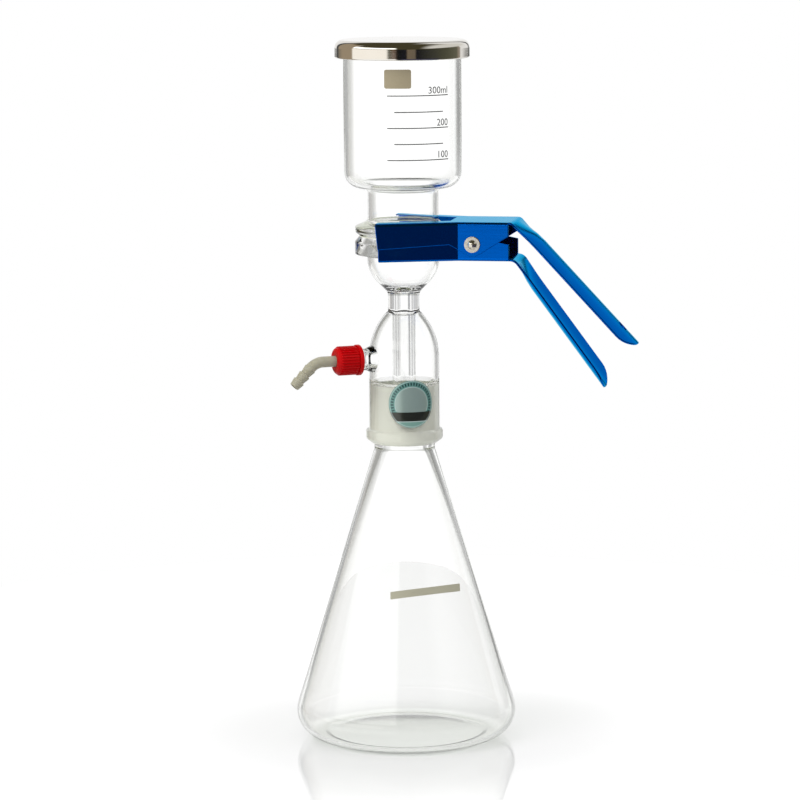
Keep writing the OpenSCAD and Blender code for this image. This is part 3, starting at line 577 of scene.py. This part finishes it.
def box_outline(left, right, half_height, corner_r=0.2, steps=10):
    """A flat rectangle with rounded corners, with extra points along its long sides."""
    a = np.radians(np.linspace(0, 90, 5))
    quarter = np.stack([np.cos(a), np.sin(a)], -1) * corner_r
    turns = [(1, 1), (-1, 1), (-1, -1), (1, -1)]
    middle, half = (left + right) / 2, (right - left) / 2
    points = []
    for k, (sx, sy) in enumerate(turns):
        turn = quarter if k % 2 == 0 else quarter[::-1]
        points.append(np.stack([middle + sx * (half - corner_r + turn[:, 0]),
                                sy * (half_height - corner_r + turn[:, 1])], -1))
        if sy * sx > 0:
            run = np.linspace(1, -1, steps)[1:-1, None] * [sx * (half - corner_r), 0]
            points.append(run + [middle, sy * half_height])
    return np.vstack(points)


def joined(name, pieces):
    """Several meshes of one finish become one piece."""
    with bpy.context.temp_override(active_object=pieces[0], selected_editable_objects=pieces):
        bpy.ops.object.join()
    pieces[0].name = pieces[0].data.name = name
    return pieces[0]


def lettering(text, size, azimuth, height, right_edge, wall, finish):
    """Numbers as a mesh: right-aligned at an angle, bent round the wall."""
    curve = bpy.data.curves.new("text", "FONT")
    curve.body, curve.size, curve.align_x = text, size, "RIGHT"
    curve.extrude, curve.resolution_u = INK_THICK / 2, 3
    words = bpy.data.objects.new("text", curve)
    bpy.context.scene.collection.objects.link(words)
    mesh = bpy.data.meshes.new_from_object(words.evaluated_get(
        bpy.context.evaluated_depsgraph_get()))
    bpy.data.objects.remove(words)
    flat = np.empty(len(mesh.vertices) * 3, np.float32)
    mesh.vertices.foreach_get("co", flat)
    u, v, depth = flat.reshape(-1, 3).T.astype(float)
    radius = wall(height) + INK_LIFT + INK_THICK / 2 + depth
    placed = bend(u * radius / wall(height) + math.radians(right_edge) * radius, v + height,
                  azimuth, radius) * MM
    mesh.vertices.foreach_set("co", placed.astype(np.float32).ravel())
    mesh.materials.clear()
    return finished("lettering_" + text, mesh, finish)


# %% The scale on the funnel
def cup_wall(height):
    return CUP_R + 0 * height


INK = enamel("grey_ink", (0.02, 0.02, 0.02), 0.08)
MARKS = {"300ml": 418.1, "200": 397.7, "100": 377.5}
HALF_MARKS = (407.8, 387.6)
DIGIT_SIZE, DIGIT_RISE, DIGIT_END = 6.3, 1.2, 49.2
FIELD_Z = 428.7
marks = []
for height in (*MARKS.values(), *HALF_MARKS):
    ends = (-8.1, 42.7) if height in HALF_MARKS else (-15.1, 49.7)
    left, right = np.radians(ends) * CUP_R
    marks.append(plate_on_glass("mark", box_outline(left, right, 0.3, 0.1, 26),
                                VIEW_AZIMUTH, height, cup_wall, INK))
for text, height in MARKS.items():
    marks.append(lettering(text, DIGIT_SIZE, VIEW_AZIMUTH, height + DIGIT_RISE,
                           DIGIT_END, cup_wall, INK))
scale = joined("printed_scale", marks)
TAN = enamel("tan_enamel", (0.34, 0.29, 0.19), 0.15)
left, right = np.radians((-17.8, 8.5)) * CUP_R
field = plate_on_glass("note_field", box_outline(left, right, 6.0, 1.3, 14),
                       VIEW_AZIMUTH, FIELD_Z, cup_wall, TAN)
for piece in (scale, field):
    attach(piece, "glassware")

# %% [markdown]
# ## The strip on the flask
# The flask carries a plain writing strip. Its wall leans, so the strip's radius depends
# on the height. A straight strip on a cone dips at both ends, by a share of t squared
# where t runs from -1 to 1 along it, and this one also climbs a little to the right.

# %% Bend the strip round the cone
STRIP_Z, STRIP_ENDS = 101.9, (-12.2, 49.2)
outer_line = np.vstack([outer, [FLASK_NECK]])


def flask_wall(height):
    """The flask's outer radius at a height, from its own outline."""
    return np.interp(height, outer_line[:, 1], outer_line[:, 0])


strip_r = flask_wall(STRIP_Z)
left, right = np.radians(STRIP_ENDS) * strip_r
strip_outline = box_outline(left, right, 2.3, 0.4, 30)
t = (2 * strip_outline[:, :1] - left - right) / (right - left)
climb = 1.0 + 1.15 * t - 1.4 * t ** 2
strip = plate_on_glass("writing_strip", strip_outline + np.hstack([0 * climb, climb]),
                       VIEW_AZIMUTH, STRIP_Z, flask_wall,
                       enamel("strip_enamel", (0.40, 0.385, 0.29), 0.15))
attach(strip, "glassware")

# %% [markdown]
# ## The disc and the membrane
# The sintered disc is a cake of fused glass grains, so it is matt, cream-white and
# speckled. The membrane on top of it is thin white paper-like stuff. Their CAD nodes
# have the right shape and only need finishes.

# %% Grainy and fibrous finishes for CAD nodes
def repaint(node, finish):
    """Gives a CAD node, whose shape stays, a finish of its own."""
    slots = frame["nodes"][node].data.materials
    slots.clear()
    slots.append(finish)


f = Finish("sintered_glass_grains")
grain = f.node("ShaderNodeTexVoronoi", {}, {"Vector": f.point(), "Scale": 2200.0})
speckle = f.noise(1500, 3, 0.6)
repaint("sintered_disc", f.done(f.principled(
    Base_Color=f.mix(speckle, (0.80, 0.77, 0.66), (0.92, 0.90, 0.83)),
    Roughness=speckle * 0.2 + 0.7, Normal=f.bump(grain + speckle, 0.0002, 0.5))))
f = Finish("membrane_fibres")
fibre = f.noise(700, 5, 0.7, (1, 3, 1))
repaint("membrane_filter", f.done(f.principled(
    Base_Color=f.mix(fibre, (0.88, 0.88, 0.85), (0.95, 0.95, 0.93)),
    Roughness=fibre * 0.15 + 0.75, Normal=f.bump(fibre, 0.0001, 0.4))))
print("disc and membrane are finished")

# %% [markdown]
# ## The polished lid
# The lid is pressed from stainless sheet and polished until it mirrors the room. Its
# lower edge is folded inwards to a smooth hem. It is a turned outline again, because any
# facet would break the reflections. Faint turning marks come from a noise that changes
# quickly with height and slowly round the lid.

# %% Turn and polish the lid
LID_T, LID_H, LID_GAP, HEM_H = 0.9, 11.6, 2.85, 2.5
lid_r = lip + LID_GAP + LID_T
lid_corner, lid_top = LID_GAP + LID_T + 1.25, RIM_Z + LID_T
lid_low = lid_top - LID_H
lid_outline = rounded(
    corner(0, lid_top), arc(lid_r - lid_corner, lid_top - lid_corner, lid_corner, 90, 0, 20),
    arc(lid_r - LID_T, lid_low + LID_T, LID_T, 0, -180, 12),
    corner(lid_r - 2 * LID_T, lid_low + HEM_H, 0.3),
    corner(lid_r - LID_T, lid_low + HEM_H + LID_T, 0.3),
    arc(lid_r - lid_corner, lid_top - lid_corner, lid_corner - LID_T, 0, 90, 16),
    corner(0, RIM_Z))
f = Finish("polished_stainless")
turning = f.noise(90, 3, 0.6, (1, 1, 40))
smear = f.noise(35, 2, 0.5)
LID_STEEL = f.done(f.principled(
    Base_Color=f.mix(smear, (0.66, 0.63, 0.58), (0.72, 0.70, 0.66)), Metallic=1.0,
    Roughness=smear * 0.05 + turning * 0.05 + 0.02, Normal=f.bump(turning, 0.00002, 0.3)))
lid = surface("polished_lid", turned(lid_outline, 256), LID_STEEL)
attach(lid, "lid")
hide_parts("lid")

# %% [markdown]
# ## The folded clamp
# Both halves are folded from one sheet each and dyed blue in an anodising bath. The dye
# sits in a clear oxide layer on bright metal, so the colour is deep face on and its
# gloss turns paler and greener at a glancing angle, which is the metal's edge tint. The
# CAD node has every fold, so a copy of its mesh is merged and gets the finish. A narrow
# bevel rounds the sheet's edges and weighted normals keep its flats flat.

# %% Blue anodised sheet
f = Finish("blue_anodised_sheet")
rolled = f.noise(260, 4, 0.6, (0.25, 3, 3))
rubbed = f.ramp(f.noise(40, 4, 0.65), 0.55, 0.8)
BLUE = f.done(f.principled(
    Base_Color=f.mix(rubbed * 0.12, (0.0, 0.100, 0.50), (0.06, 0.28, 0.58)), Metallic=1.0,
    Roughness=rolled * 0.10 + rubbed * 0.08 + 0.14, Normal=f.bump(rolled, 0.00003, 0.35),
    Specular_Tint=(0.12, 0.85, 1.0)))


SHEET_SHARP, FLAT_ANGLE, ROUND_ANGLE = 14, 0.3, 50  # degrees
SHEET_MERGE, EDGE_ROUND, FLAT_WEIGHT = 2e-6, 0.0004, 90  # metres, metres, share


def sheet_copy(node, name, body):
    """A merged copy of a folded CAD node, with smooth bends and rounded edges."""
    mesh = frame["nodes"][node].data.copy()
    mesh.materials.clear()
    work = bmesh.new()
    work.from_mesh(mesh)
    bmesh.ops.remove_doubles(work, verts=work.verts, dist=SHEET_MERGE)
    bmesh.ops.dissolve_limit(work, angle_limit=math.radians(FLAT_ANGLE), verts=work.verts,
                             edges=work.edges)
    work.to_mesh(mesh)
    work.free()
    piece = finished(name, mesh, BLUE, SHEET_SHARP)
    edges = piece.modifiers.new("edges", "BEVEL")
    edges.width, edges.segments, edges.use_clamp_overlap = EDGE_ROUND, 2, False
    edges.angle_limit = math.radians(ROUND_ANGLE)
    even = piece.modifiers.new("even", "WEIGHTED_NORMAL")
    even.keep_sharp, even.weight = True, FLAT_WEIGHT
    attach(piece, body)
    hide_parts(node)


sheet_copy("clamp_upper_half", "clamp_upper_sheet", "clamp_upper")
sheet_copy("clamp_lower_half", "clamp_lower_sheet", "clamp_lower")

# %% [markdown]
# ## Pin, washers and spring
# The hinge pin's ends are peened into domes over bright washers. Its spring is one wire:
# a leg under the upper plate, five turns round the pin, and a leg on the lower plate. A
# round section is carried along that path. The clamp pinches its legs together as it
# opens.

# %% Turn the pin and washers about the hinge line
PIVOT = np.array([48.4, 0.0, 323.4])
WALL_HALF, WASHER_T, PIN_R = 22.6, 0.8, 2.0
HEAD_R, HEAD_H, WASHER_R = 3.0, 1.6, 5.15


def on_pivot(grid):
    """Takes a grid about +Z to the hinge line, which runs along Y."""
    x, y, z = np.moveaxis(grid, -1, 0)
    return np.stack([x, -z, y], -1) + PIVOT


def bright_metal(name, colour, scratch=0.12):
    """Nickel plate: bright, with fine marks from peening and handling."""
    f = Finish(name)
    scuffs, clouds = f.noise(1400, 4, 0.7), f.noise(300, 3, 0.6)
    dull = tuple(part * 0.7 for part in colour)
    return f.done(f.principled(
        Base_Color=f.mix(clouds, colour, dull), Metallic=1.0,
        Roughness=scuffs * scratch + 0.16, Normal=f.bump(scuffs + clouds, 0.00006, 0.5)))


NICKEL = bright_metal("nickel_plate", (0.74, 0.70, 0.62))
grip = WALL_HALF + WASHER_T
big = (HEAD_R ** 2 + HEAD_H ** 2) / (2 * HEAD_H)
rise = math.degrees(math.asin(HEAD_R / big))
dome_line = arc(0, grip + HEAD_H - big, big, 90 - rise, 90, 14)
pin_outline = rounded(
    dome_line[::-1] * [1, -1], corner(HEAD_R, -grip, 0.15), corner(PIN_R, -grip),
    corner(PIN_R, grip), corner(HEAD_R, grip, 0.15), dome_line)
pin = surface("hinge_pin", on_pivot(turned(pin_outline, 96)), NICKEL)
washer_line = rounded(corner(PIN_R + 0.05, WALL_HALF, 0.1), corner(WASHER_R, WALL_HALF, 0.25),
                      corner(WASHER_R, grip, 0.3), corner(PIN_R + 0.05, grip, 0.1))
washers = joined("hinge_washers", [
    surface("washer", on_pivot(turned(washer_line * [1, side], 96)), NICKEL, wrap_rows=True)
    for side in (1, -1)])
for piece, node in ((pin, "pivot_pin"), (washers, "pivot_washers")):
    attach(piece, "glassware")
    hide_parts(node)

# %% Carry a round section along the spring's path
WIRE_R, COIL_R, TURNS, COIL_GAP = 0.8, 4.2, 5, 0.4
LEG_X, LEG_HIGH, LEG_LOW, OPEN_HEIGHT = 17.7, 11.7, -8.4, 0.78


def spring_path(steps=30):
    """Leg, coil, leg. A leg is a straight line that touches the coil's circle. In the
    coil the point turns by a and moves along the pin by (2 r + gap) a / 360 degrees."""
    first = (touching((LEG_X, LEG_HIGH), (0, 0), COIL_R, 1) - 90) % 360
    last = (touching((LEG_X, LEG_LOW), (0, 0), COIL_R, -1) + 90) % 360 + 360 * TURNS
    creep = (2 * WIRE_R + COIL_GAP) / 360
    half = creep * (last - first) / 2
    a = np.linspace(first, last, steps * (TURNS + 1))
    coil = np.stack([COIL_R * np.cos(np.radians(a)), creep * (a - first) - half,
                     COIL_R * np.sin(np.radians(a))], -1)
    leg = np.linspace(0, 1, 12)[:, None]
    high, low = np.array([LEG_X, -half, LEG_HIGH]), np.array([LEG_X, half, LEG_LOW])
    return np.vstack([high + leg[:-1] * (coil[0] - high), coil,
                      coil[-1] + leg[1:] * (low - coil[-1])]) + PIVOT


def wire(path, radius, sides=14):
    """A ring about every path point, square to the path and with no twist about Y, and
    a shrunken ring at each end that closes it: P + r (u cos a + v sin a)."""
    ahead = np.gradient(path, axis=0)
    ahead /= np.linalg.norm(ahead, axis=1, keepdims=True)
    u = np.cross(ahead, [0, 1, 0])
    u /= np.linalg.norm(u, axis=1, keepdims=True)
    v = np.cross(ahead, u)
    a = np.linspace(0, 2 * math.pi, sides, endpoint=False)[:, None]
    rings = path[:, None] + radius * (np.cos(a) * u[:, None] + np.sin(a) * v[:, None])
    ends = [np.broadcast_to(path[k], (1, sides, 3)) for k in (0, -1)]
    return np.concatenate([ends[0], rings, ends[1]])


spring = surface("torsion_spring", wire(spring_path(), WIRE_R),
                 bright_metal("spring_wire", (0.52, 0.50, 0.47), 0.2))
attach(spring, "glassware")
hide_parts("clamp_spring")
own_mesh(spring)

# %% [markdown]
# ## The screw cap and its seal
# The red cap is moulded with grip ribs that run along it, a plain rim at its open end,
# and a hole in its end face for the hose connector. It is one turned grid whose radius
# also depends on the angle, with a smooth wave for the ribs where the wall is ribbed.

# %% Mould the ribbed cap
CAP_START, CAP_END, CAP_BORE, CAP_OUT, CAP_RIM = 30.85, 47.85, 7.05, 8.8, 9.9
CAP_HOLE, CAP_END_T, RIBS, RIB_H = 3.75, 2.5, 32, 0.6
RIM_H, CAP_ROUND = 2.5, 2.5
RIM_STOP, ROUND_START = CAP_START + RIM_H, CAP_END - CAP_ROUND


def ribbed(outline, columns=576):
    """The turned grid with r + h w(z) c(a): c is a flattened cosine with one crest for
    each rib, and w is 1 on the ribbed length of the outside and 0 elsewhere."""
    r, z = outline[:, :1], outline[:, 1:]
    a = np.linspace(0, 2 * math.pi, columns, endpoint=False)
    crest = np.clip(0.5 + 0.9 * np.cos(RIBS * a), 0, 1)
    crest = crest * crest * (3 - 2 * crest)
    along = np.clip(np.minimum((z - RIM_STOP) / 0.15, (ROUND_START + 0.9 - z) / 0.9), 0, 1)
    full = r + RIB_H * crest * along * (r > CAP_BORE + 1)
    return np.stack([full * np.cos(a), full * np.sin(a), z + 0 * a], -1)


run = np.stack([np.full(16, CAP_OUT), np.linspace(RIM_STOP + 0.02, ROUND_START - 0.1, 16)], -1)
cap_outline = rounded(
    corner(CAP_BORE, CAP_START, 0.3), corner(CAP_RIM, CAP_START, 0.5),
    corner(CAP_RIM, RIM_STOP, 0.5), corner(CAP_OUT + 0.1, RIM_STOP, 0.05), run,
    arc(CAP_OUT - CAP_ROUND, ROUND_START, CAP_ROUND, 0, 90, 14), corner(CAP_HOLE, CAP_END, 0.4),
    corner(CAP_HOLE, CAP_END - CAP_END_T, 0.2), corner(CAP_BORE, CAP_END - CAP_END_T, 0.3))
f = Finish("red_moulding")
grain = f.noise(1100, 3, 0.6)
shade = f.noise(45, 2, 0.5)
RED = f.done(f.principled(
    Base_Color=f.mix(shade, (0.52, 0.0, 0.002), (0.44, 0.0, 0.001)),
    Roughness=grain * 0.12 + 0.28, Specular_IOR_Level=0.12,
    Normal=f.bump(grain, 0.00004, 0.4)))
cap = surface("ribbed_cap", on_port(ribbed(cap_outline)), RED, wrap_rows=True, sharp=50)
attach(cap, "screw_cap")
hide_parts("screw_cap")

# %% The seal's rubber
f = Finish("white_silicone")
dust = f.noise(600, 4, 0.6)
repaint("port_seal", f.done(f.principled(
    Base_Color=f.mix(dust, (0.86, 0.86, 0.83), (0.76, 0.76, 0.73)),
    Roughness=dust * 0.15 + 0.45, Normal=f.bump(dust, 0.00008, 0.3))))

# %% [markdown]
# ## The hose connector
# A translucent plastic tube leaves the cap, bends down by 45 degrees and ends in three
# barbs that grip a hose. The whole piece is one ring-shaped outline whose height means
# the distance along the bent axis, so bending it is one change of coordinates.

# %% Bend a turned outline along the tube's axis
BEND_S, BEND_R, BEND_A = 55.85, 12.0, math.radians(45)
TUBE_R, TUBE_BORE, BARB_R, BARB_ROOT, PITCH, BARBS = 3.5, 2.2, 3.95, 3.1, 5.4, 3
SEAT_S, SEAT_R, SEAT_T, BEND_STEPS = 43.32, 5.9, 1.98, 26


def bent(outline, sides=72):
    """(r, s) turned about an axis that runs straight, then turns by BEND_A on an arc, then
    runs straight again. P(s) + r (n cos a + y sin a), where n is square to the axis."""
    r, s = outline[:, :1], outline[:, 1:]
    turn = np.clip((s - BEND_S) / BEND_R, 0, BEND_A)
    past = np.maximum(s - BEND_S - BEND_R * BEND_A, 0)
    px = BEND_R * (1 - np.cos(turn)) + past * np.sin(turn)
    pz = np.minimum(s, BEND_S) + BEND_R * np.sin(turn) + past * np.cos(turn)
    a = np.linspace(0, 2 * math.pi, sides, endpoint=False)
    side = r * np.cos(a)
    return np.stack([px + side * np.cos(turn), r * np.sin(a), pz - side * np.sin(turn)], -1)


first_barb = BEND_S + BEND_R * BEND_A
tip = first_barb + BARBS * PITCH
barb_points = [p for k in range(BARBS) for p in (
    corner(BARB_R, first_barb + k * PITCH + 0.6, 0.22),
    corner(BARB_ROOT, first_barb + (k + 1) * PITCH, 0.15 if k < BARBS - 1 else 0.3))]
along = np.linspace(BEND_S, first_barb, BEND_STEPS)
tube_outline = rounded(
    corner(TUBE_BORE, SEAT_S), corner(SEAT_R, SEAT_S, 0.1), corner(SEAT_R, SEAT_S + SEAT_T, 0.3),
    corner(TUBE_R, SEAT_S + SEAT_T, 0.1), np.stack([0 * along + TUBE_R, along], -1),
    *barb_points, corner(TUBE_BORE, tip, 0.2),
    np.stack([0 * along + TUBE_BORE, along[::-1]], -1))
f = Finish("natural_polypropylene")
cloud = f.noise(160, 3, 0.6)
fine = f.noise(1500, 3, 0.6)
HOSE_PLASTIC = f.done(f.principled(
    Base_Color=f.mix(cloud, (0.50, 0.48, 0.37), (0.40, 0.38, 0.28)),
    Roughness=fine * 0.12 + 0.30, Normal=f.bump(fine, 0.00005, 0.4), Transmission_Weight=0.22,
    Subsurface_Weight=0.2, Subsurface_Radius=(1.0, 0.9, 0.6), Subsurface_Scale=0.003))
connector = surface("barbed_connector", on_port(bent(tube_outline)), HOSE_PLASTIC,
                    wrap_rows=True, sharp=40)
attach(connector, "hose_connector")
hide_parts("hose_connector")

# %% [markdown]
# ## The round label
# A foil label sits on the socket. It carries a plain pattern and no mark: a teal ring of
# dark ticks, a silvery middle with a fine guilloche, and a dark band. The pattern reads
# the label's own flat coordinates, so it stays round when the disc is wrapped.

# %% Print the label from its own coordinates
LABEL_R, LABEL_T, LABEL_AZIMUTH, LABEL_Z = 15.25, 0.15, -67.4, 220.3
TICKS, LABEL_LIFT = 44.0, 0.03
f = Finish("foil_label")
place = f.node("ShaderNodeUVMap", {"uv_map": "plane"})
u, v = [(part - 0.5) * UV_SPAN for part in f.xyz(place)[:2]]
radius = (u * u + v * v).sqrt()
weave = f.node("ShaderNodeMath", {"operation": "SINE"}, {0: u * 7.0 + v * 3.0})
weave = weave * f.node("ShaderNodeMath", {"operation": "SINE"}, {0: v * 8.0 - u * 2.0})
inner_zone = 1 - f.ramp(radius, 10.6, 11.0)
turn = f.node("ShaderNodeMath", {"operation": "ARCTAN2"}, {0: v, 1: u})
ticks = f.node("ShaderNodeMath", {"operation": "SINE"}, {0: turn * TICKS})
ticks = ticks.between(0.0, 2.0, 0.4) * radius.between(12.0, 13.9, 0.08)
teal = f.mix(ticks, (0.12, 0.28, 0.25), (0.008, 0.04, 0.04))
threads = weave * 0.5 + 0.5
silver = f.mix(threads, (0.23, 0.35, 0.32), (0.44, 0.53, 0.49))
paint = f.mix(inner_zone, teal, silver)
band = v.between(-11.0, -5.2, 0.08)
paint = f.mix(band, paint, f.mix(threads, (0.012, 0.014, 0.009), (0.040, 0.045, 0.035)))
foot = 1 - f.ramp(v, -11.6, -11.4)
paint = f.mix(foot, paint, (0.20, 0.37, 0.32))
ring_line = radius.between(10.9, 11.2, 0.06) * f.ramp(v, -4.6, -4.5)
edge_line = radius.between(14.5, 14.75, 0.06) + v.between(-11.45, -11.1, 0.05)
paint = f.mix(ring_line + edge_line, paint, (0.62, 0.72, 0.70))
LABEL_FOIL = f.done(f.principled(
    Base_Color=paint, Metallic=inner_zone * 0.3 + 0.1, Roughness=weave * 0.05 + 0.30,
    Coat_Weight=0.4, Coat_Roughness=0.08))
turn_a = np.linspace(0, 2 * math.pi, 120, endpoint=False)
disc_outline = np.stack([LABEL_R * np.cos(turn_a), LABEL_R * np.sin(turn_a)], -1)
label = plate_on_glass("foil_label", disc_outline, LABEL_AZIMUTH, LABEL_Z,
                       lambda z: CHAMBER_R + 0 * z, LABEL_FOIL, LABEL_T, LABEL_LIFT)
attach(label, "glassware")
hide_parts("round_label")

# %% [markdown]
# ## The room that the glass reflects
# Clear glass has no colour of its own: it is drawn by what it reflects and refracts. The
# camera meets plain white. Rays that leave glass meet white straight behind and a grey
# card at either side, which draws the lines inside its edges. Each card is one even grey
# and no darker, so the glass stays clear when it is seen with a card behind it. Rays that
# point well down meet a plain pale wall instead, and rays that climb meet a dimmer one.
# Rays that leave polished metal meet a room with windows, walls and a dark camera corner.

# %% Direction becomes an angle round the unit
f = Finish("room", bpy.data.worlds.new("room"))
bpy.context.scene.world = f.owner
direction = f.node("ShaderNodeTexCoord", {}, {}, "Generated")
dx, dy, dz = f.xyz(direction)
view = math.radians(VIEW_AZIMUTH)
to_camera = dx * math.cos(view) + dy * math.sin(view)
to_right = dy * math.cos(view) - dx * math.sin(view)
FULL_TURN = 2 * math.pi
turn_front = f.node("ShaderNodeMath", {"operation": "ARCTAN2"}, {0: to_right, 1: to_camera})
turn_back = f.node("ShaderNodeMath", {"operation": "ARCTAN2"}, {0: to_right, 1: 0 - to_camera})
front_place = turn_front / FULL_TURN + 0.5
back_place = turn_back / FULL_TURN + 0.5


def around(place, *stops):
    """A colour by angle, from (degrees, grey or colour) pairs between -180 and 180."""
    colours = [((angle + 180) / 360, tone if isinstance(tone, tuple) else (tone,) * 3)
               for angle, tone in stops]
    return f.node("ShaderNodeValToRGB", {"blend": "LINEAR", "stops": colours}, {"Fac": place})


def past(start, end):
    """0 to the left of start and 1 to the right of end, in degrees on the front side."""
    return f.ramp(turn_front, math.radians(start), math.radians(end))


behind = around(back_place, (-180, 0.92), (-66, 0.92), (-60, 0.52), (-24, 0.52), (-11, 0.78),
                (-8, 1.0), (16.5, 1.0), (19, 0.40), (46, 0.40), (52, 0.92), (180, 0.92))
behind = f.mix(f.ramp(dz, -0.25, -0.20), (0.97, 0.97, 0.97), behind)

# %% The room that polished metal mirrors
WALL_TAN, OLIVE, DAYLIGHT = (0.42, 0.34, 0.24), (0.10, 0.10, 0.065), (1.3, 1.25, 1.17)
room = around(front_place, (-180, 1.0), (-151, 1.0), (-149, 0.06), (-141, 0.08),
              (-138, WALL_TAN), (-96, WALL_TAN), (-93, DAYLIGHT), (-27, DAYLIGHT),
              (-23, OLIVE), (-14, (0.16, 0.09, 0.05)), (-8, 0.01), (7, 0.01),
              (9, (0.22, 0.17, 0.11)), (22, (0.20, 0.16, 0.11)),
              (24, 0.01), (84, OLIVE), (108, (0.16, 0.155, 0.11)), (111, (0.34, 0.29, 0.23)),
              (116, (0.36, 0.31, 0.25)), (119, 1.0), (152, 1.0), (154, 0.03), (159, 0.03),
              (161, 1.0), (180, 1.0))
window = past(-96, -92) * (1 - past(-14, -8))
below_table = f.ramp(0 - dz, 0.060, 0.085)
room = f.mix(window * below_table, room, (1.3, 1.3, 1.3))
low_dark = past(-6, 2) * below_table * (1 - past(60, 75))
room = f.mix(low_dark, room, (0.045, 0.045, 0.10))
high_card = window * dz.between(0.22, 0.46, 0.03)
table_edge = f.ramp(0 - to_camera, 0.5, 0.8) * (0 - dz).between(0.048, 0.075, 0.008)
room = f.mix(table_edge, room, (0.12, 0.12, 0.11))
over_front = f.ramp(dz, 0.10, 0.17) * f.ramp(to_camera, -0.15, 0.10)
dark_above = f.node("ShaderNodeMath", {"operation": "MAXIMUM"}, {
    0: over_front, 1: f.ramp(dz, 0.60, 0.75) * (1 - f.ramp(to_right, 0.10, 0.35))})
room = f.mix(dark_above, room, (0.07, 0.06, 0.03))
room = f.mix(high_card, room, (2.4, 2.4, 2.3))
light_right = f.ramp(dz, 0.20, 0.35) * f.ramp(to_right, 0.45, 0.75)
room = f.mix(light_right, room, (0.85, 0.84, 0.80))

# %% What each kind of ray meets
camera_ray, glossy_ray, clear_ray = f.rays("Is Camera Ray", "Is Glossy Ray",
                                           "Is Transmission Ray")
upward = f.mix(f.ramp(dz, 0.03, 0.12), (1.12, 1.12, 1.12), (0.72, 0.73, 0.71))
seen = f.mix(glossy_ray, (0.72, 0.72, 0.72), room)
seen = f.mix(clear_ray, seen, f.node("ShaderNodeMix", {
    "data_type": "RGBA", "blend_type": "MULTIPLY"}, {0: 1.0, 6: behind, 7: upward}, 2))
seen = f.mix(camera_ray, seen, (1.0, 1.0, 1.0))
f.done(f.node("ShaderNodeBackground", {}, {"Color": seen, "Strength": 1.0}),
       "ShaderNodeOutputWorld")
print("world:", len(f.tree.nodes), "nodes")

# %% [markdown]
# ## Floor, lamps and camera
# The unit stands on a glossy white sheet. The sheet is white by its own emission for the
# camera and for rays through glass, yet its diffuse part still takes the shadow. That
# emission is painted light: for the camera it is weaker near the unit, a painted shade
# round the base, and for rays through glass it is stronger under the flask's foot, a
# painted light there. One large soft lamp stands to the upper left and a weaker one to the
# right. The camera is far away with a long lens, so the verticals stay straight.

# %% The glossy sheet
SHEET_R, SHEET_BACK, SHEET_LOW = 460, 190, 0.05  # its radius, how far back, how far down
f = Finish("white_sheet")
camera_ray, glossy_ray, clear_ray = f.rays("Is Camera Ray", "Is Glossy Ray",
                                           "Is Transmission Ray")
x, y, _ = f.xyz()
away = (x * x + y * y).sqrt()
# Painted light: emission weaker near the unit for the camera (painted shade round the base), and
# stronger under the flask's foot for rays through glass (painted light).
painted_glow = camera_ray * (f.ramp(away, 0.09, 0.28) * 0.30 + 0.19)
painted_glow = painted_glow + clear_ray * (0.22 - f.ramp(away, 0.062, 0.075) * 0.20) + glossy_ray * 0.2
faint = f.noise(3, 2, 0.5)
SHEET = f.done(f.principled(
    Base_Color=f.mix(faint, (0.56, 0.56, 0.56), (0.58, 0.58, 0.58)), Roughness=0.05, IOR=2.4,
    Emission_Color=f.mix(painted_glow, (0.0, 0.0, 0.0), (1.0, 1.0, 1.0)), Emission_Strength=1.0))
a = np.linspace(0, 2 * math.pi, 64, endpoint=False)
rings = np.array([SHEET_R, 250, 0.001])[:, None]
sheet = surface("floor_sheet", np.stack([
    rings * np.cos(a) - SHEET_BACK * math.cos(view),
    rings * np.sin(a) - SHEET_BACK * math.sin(view), 0 * rings + 0 * a - SHEET_LOW], -1), SHEET)

# %% Lamps
def soft_lamp(name, place, size, watts):
    """An area lamp that looks at the unit's middle and isn't seen in metal or glass."""
    data = bpy.data.lights.new(name, "AREA")
    data.shape, data.size, data.energy = "DISK", size, watts
    lamp = bpy.data.objects.new(name, data)
    bpy.context.scene.collection.objects.link(lamp)
    middle = Vector((0, 0, 0.24))
    lamp.location = middle + Vector(place)
    lamp.rotation_euler = (-Vector(place)).to_track_quat("-Z", "Y").to_euler()
    lamp.visible_glossy = lamp.visible_transmission = False
    print(name, watts, "W")


def from_view(angle, up, distance):
    """A place seen at an angle to the right of the camera's side, and so high up."""
    a, e = view + math.radians(angle), math.radians(up)
    return (distance * math.cos(a) * math.cos(e), distance * math.sin(a) * math.cos(e),
            distance * math.sin(e))


soft_lamp("key_lamp", from_view(-50, 50, 1.6), 0.9, 16)
soft_lamp("fill_lamp", from_view(70, 35, 1.8), 1.2, 5)

# %% Camera, 2.5 m away and a little above
VIEW_UP, DISTANCE, FOCAL, SENSOR = 8, 2500, 174.4, 36
AIM_Z, AIM_LEFT, ROLL = 220, 2.8, -0.38
el = math.radians(VIEW_UP)
back = Vector((math.cos(view) * math.cos(el), math.sin(view) * math.cos(el), math.sin(el)))
right = Vector((-math.sin(view), math.cos(view), 0))
aim = Vector((0, 0, AIM_Z)) - right * AIM_LEFT
lens = bpy.data.cameras.new("camera")
lens.lens, lens.sensor_width = FOCAL, SENSOR
camera = bpy.data.objects.new("camera", lens)
bpy.context.scene.collection.objects.link(camera)
axes = Matrix((right, back.cross(right), back)).transposed().to_4x4()
camera.matrix_world = (Matrix.Translation((aim + back * DISTANCE) * MM) @ axes
                       @ Matrix.Rotation(math.radians(ROLL), 4, "Z"))
bpy.context.scene.camera = camera
bpy.context.scene.view_settings.view_transform = "Standard"
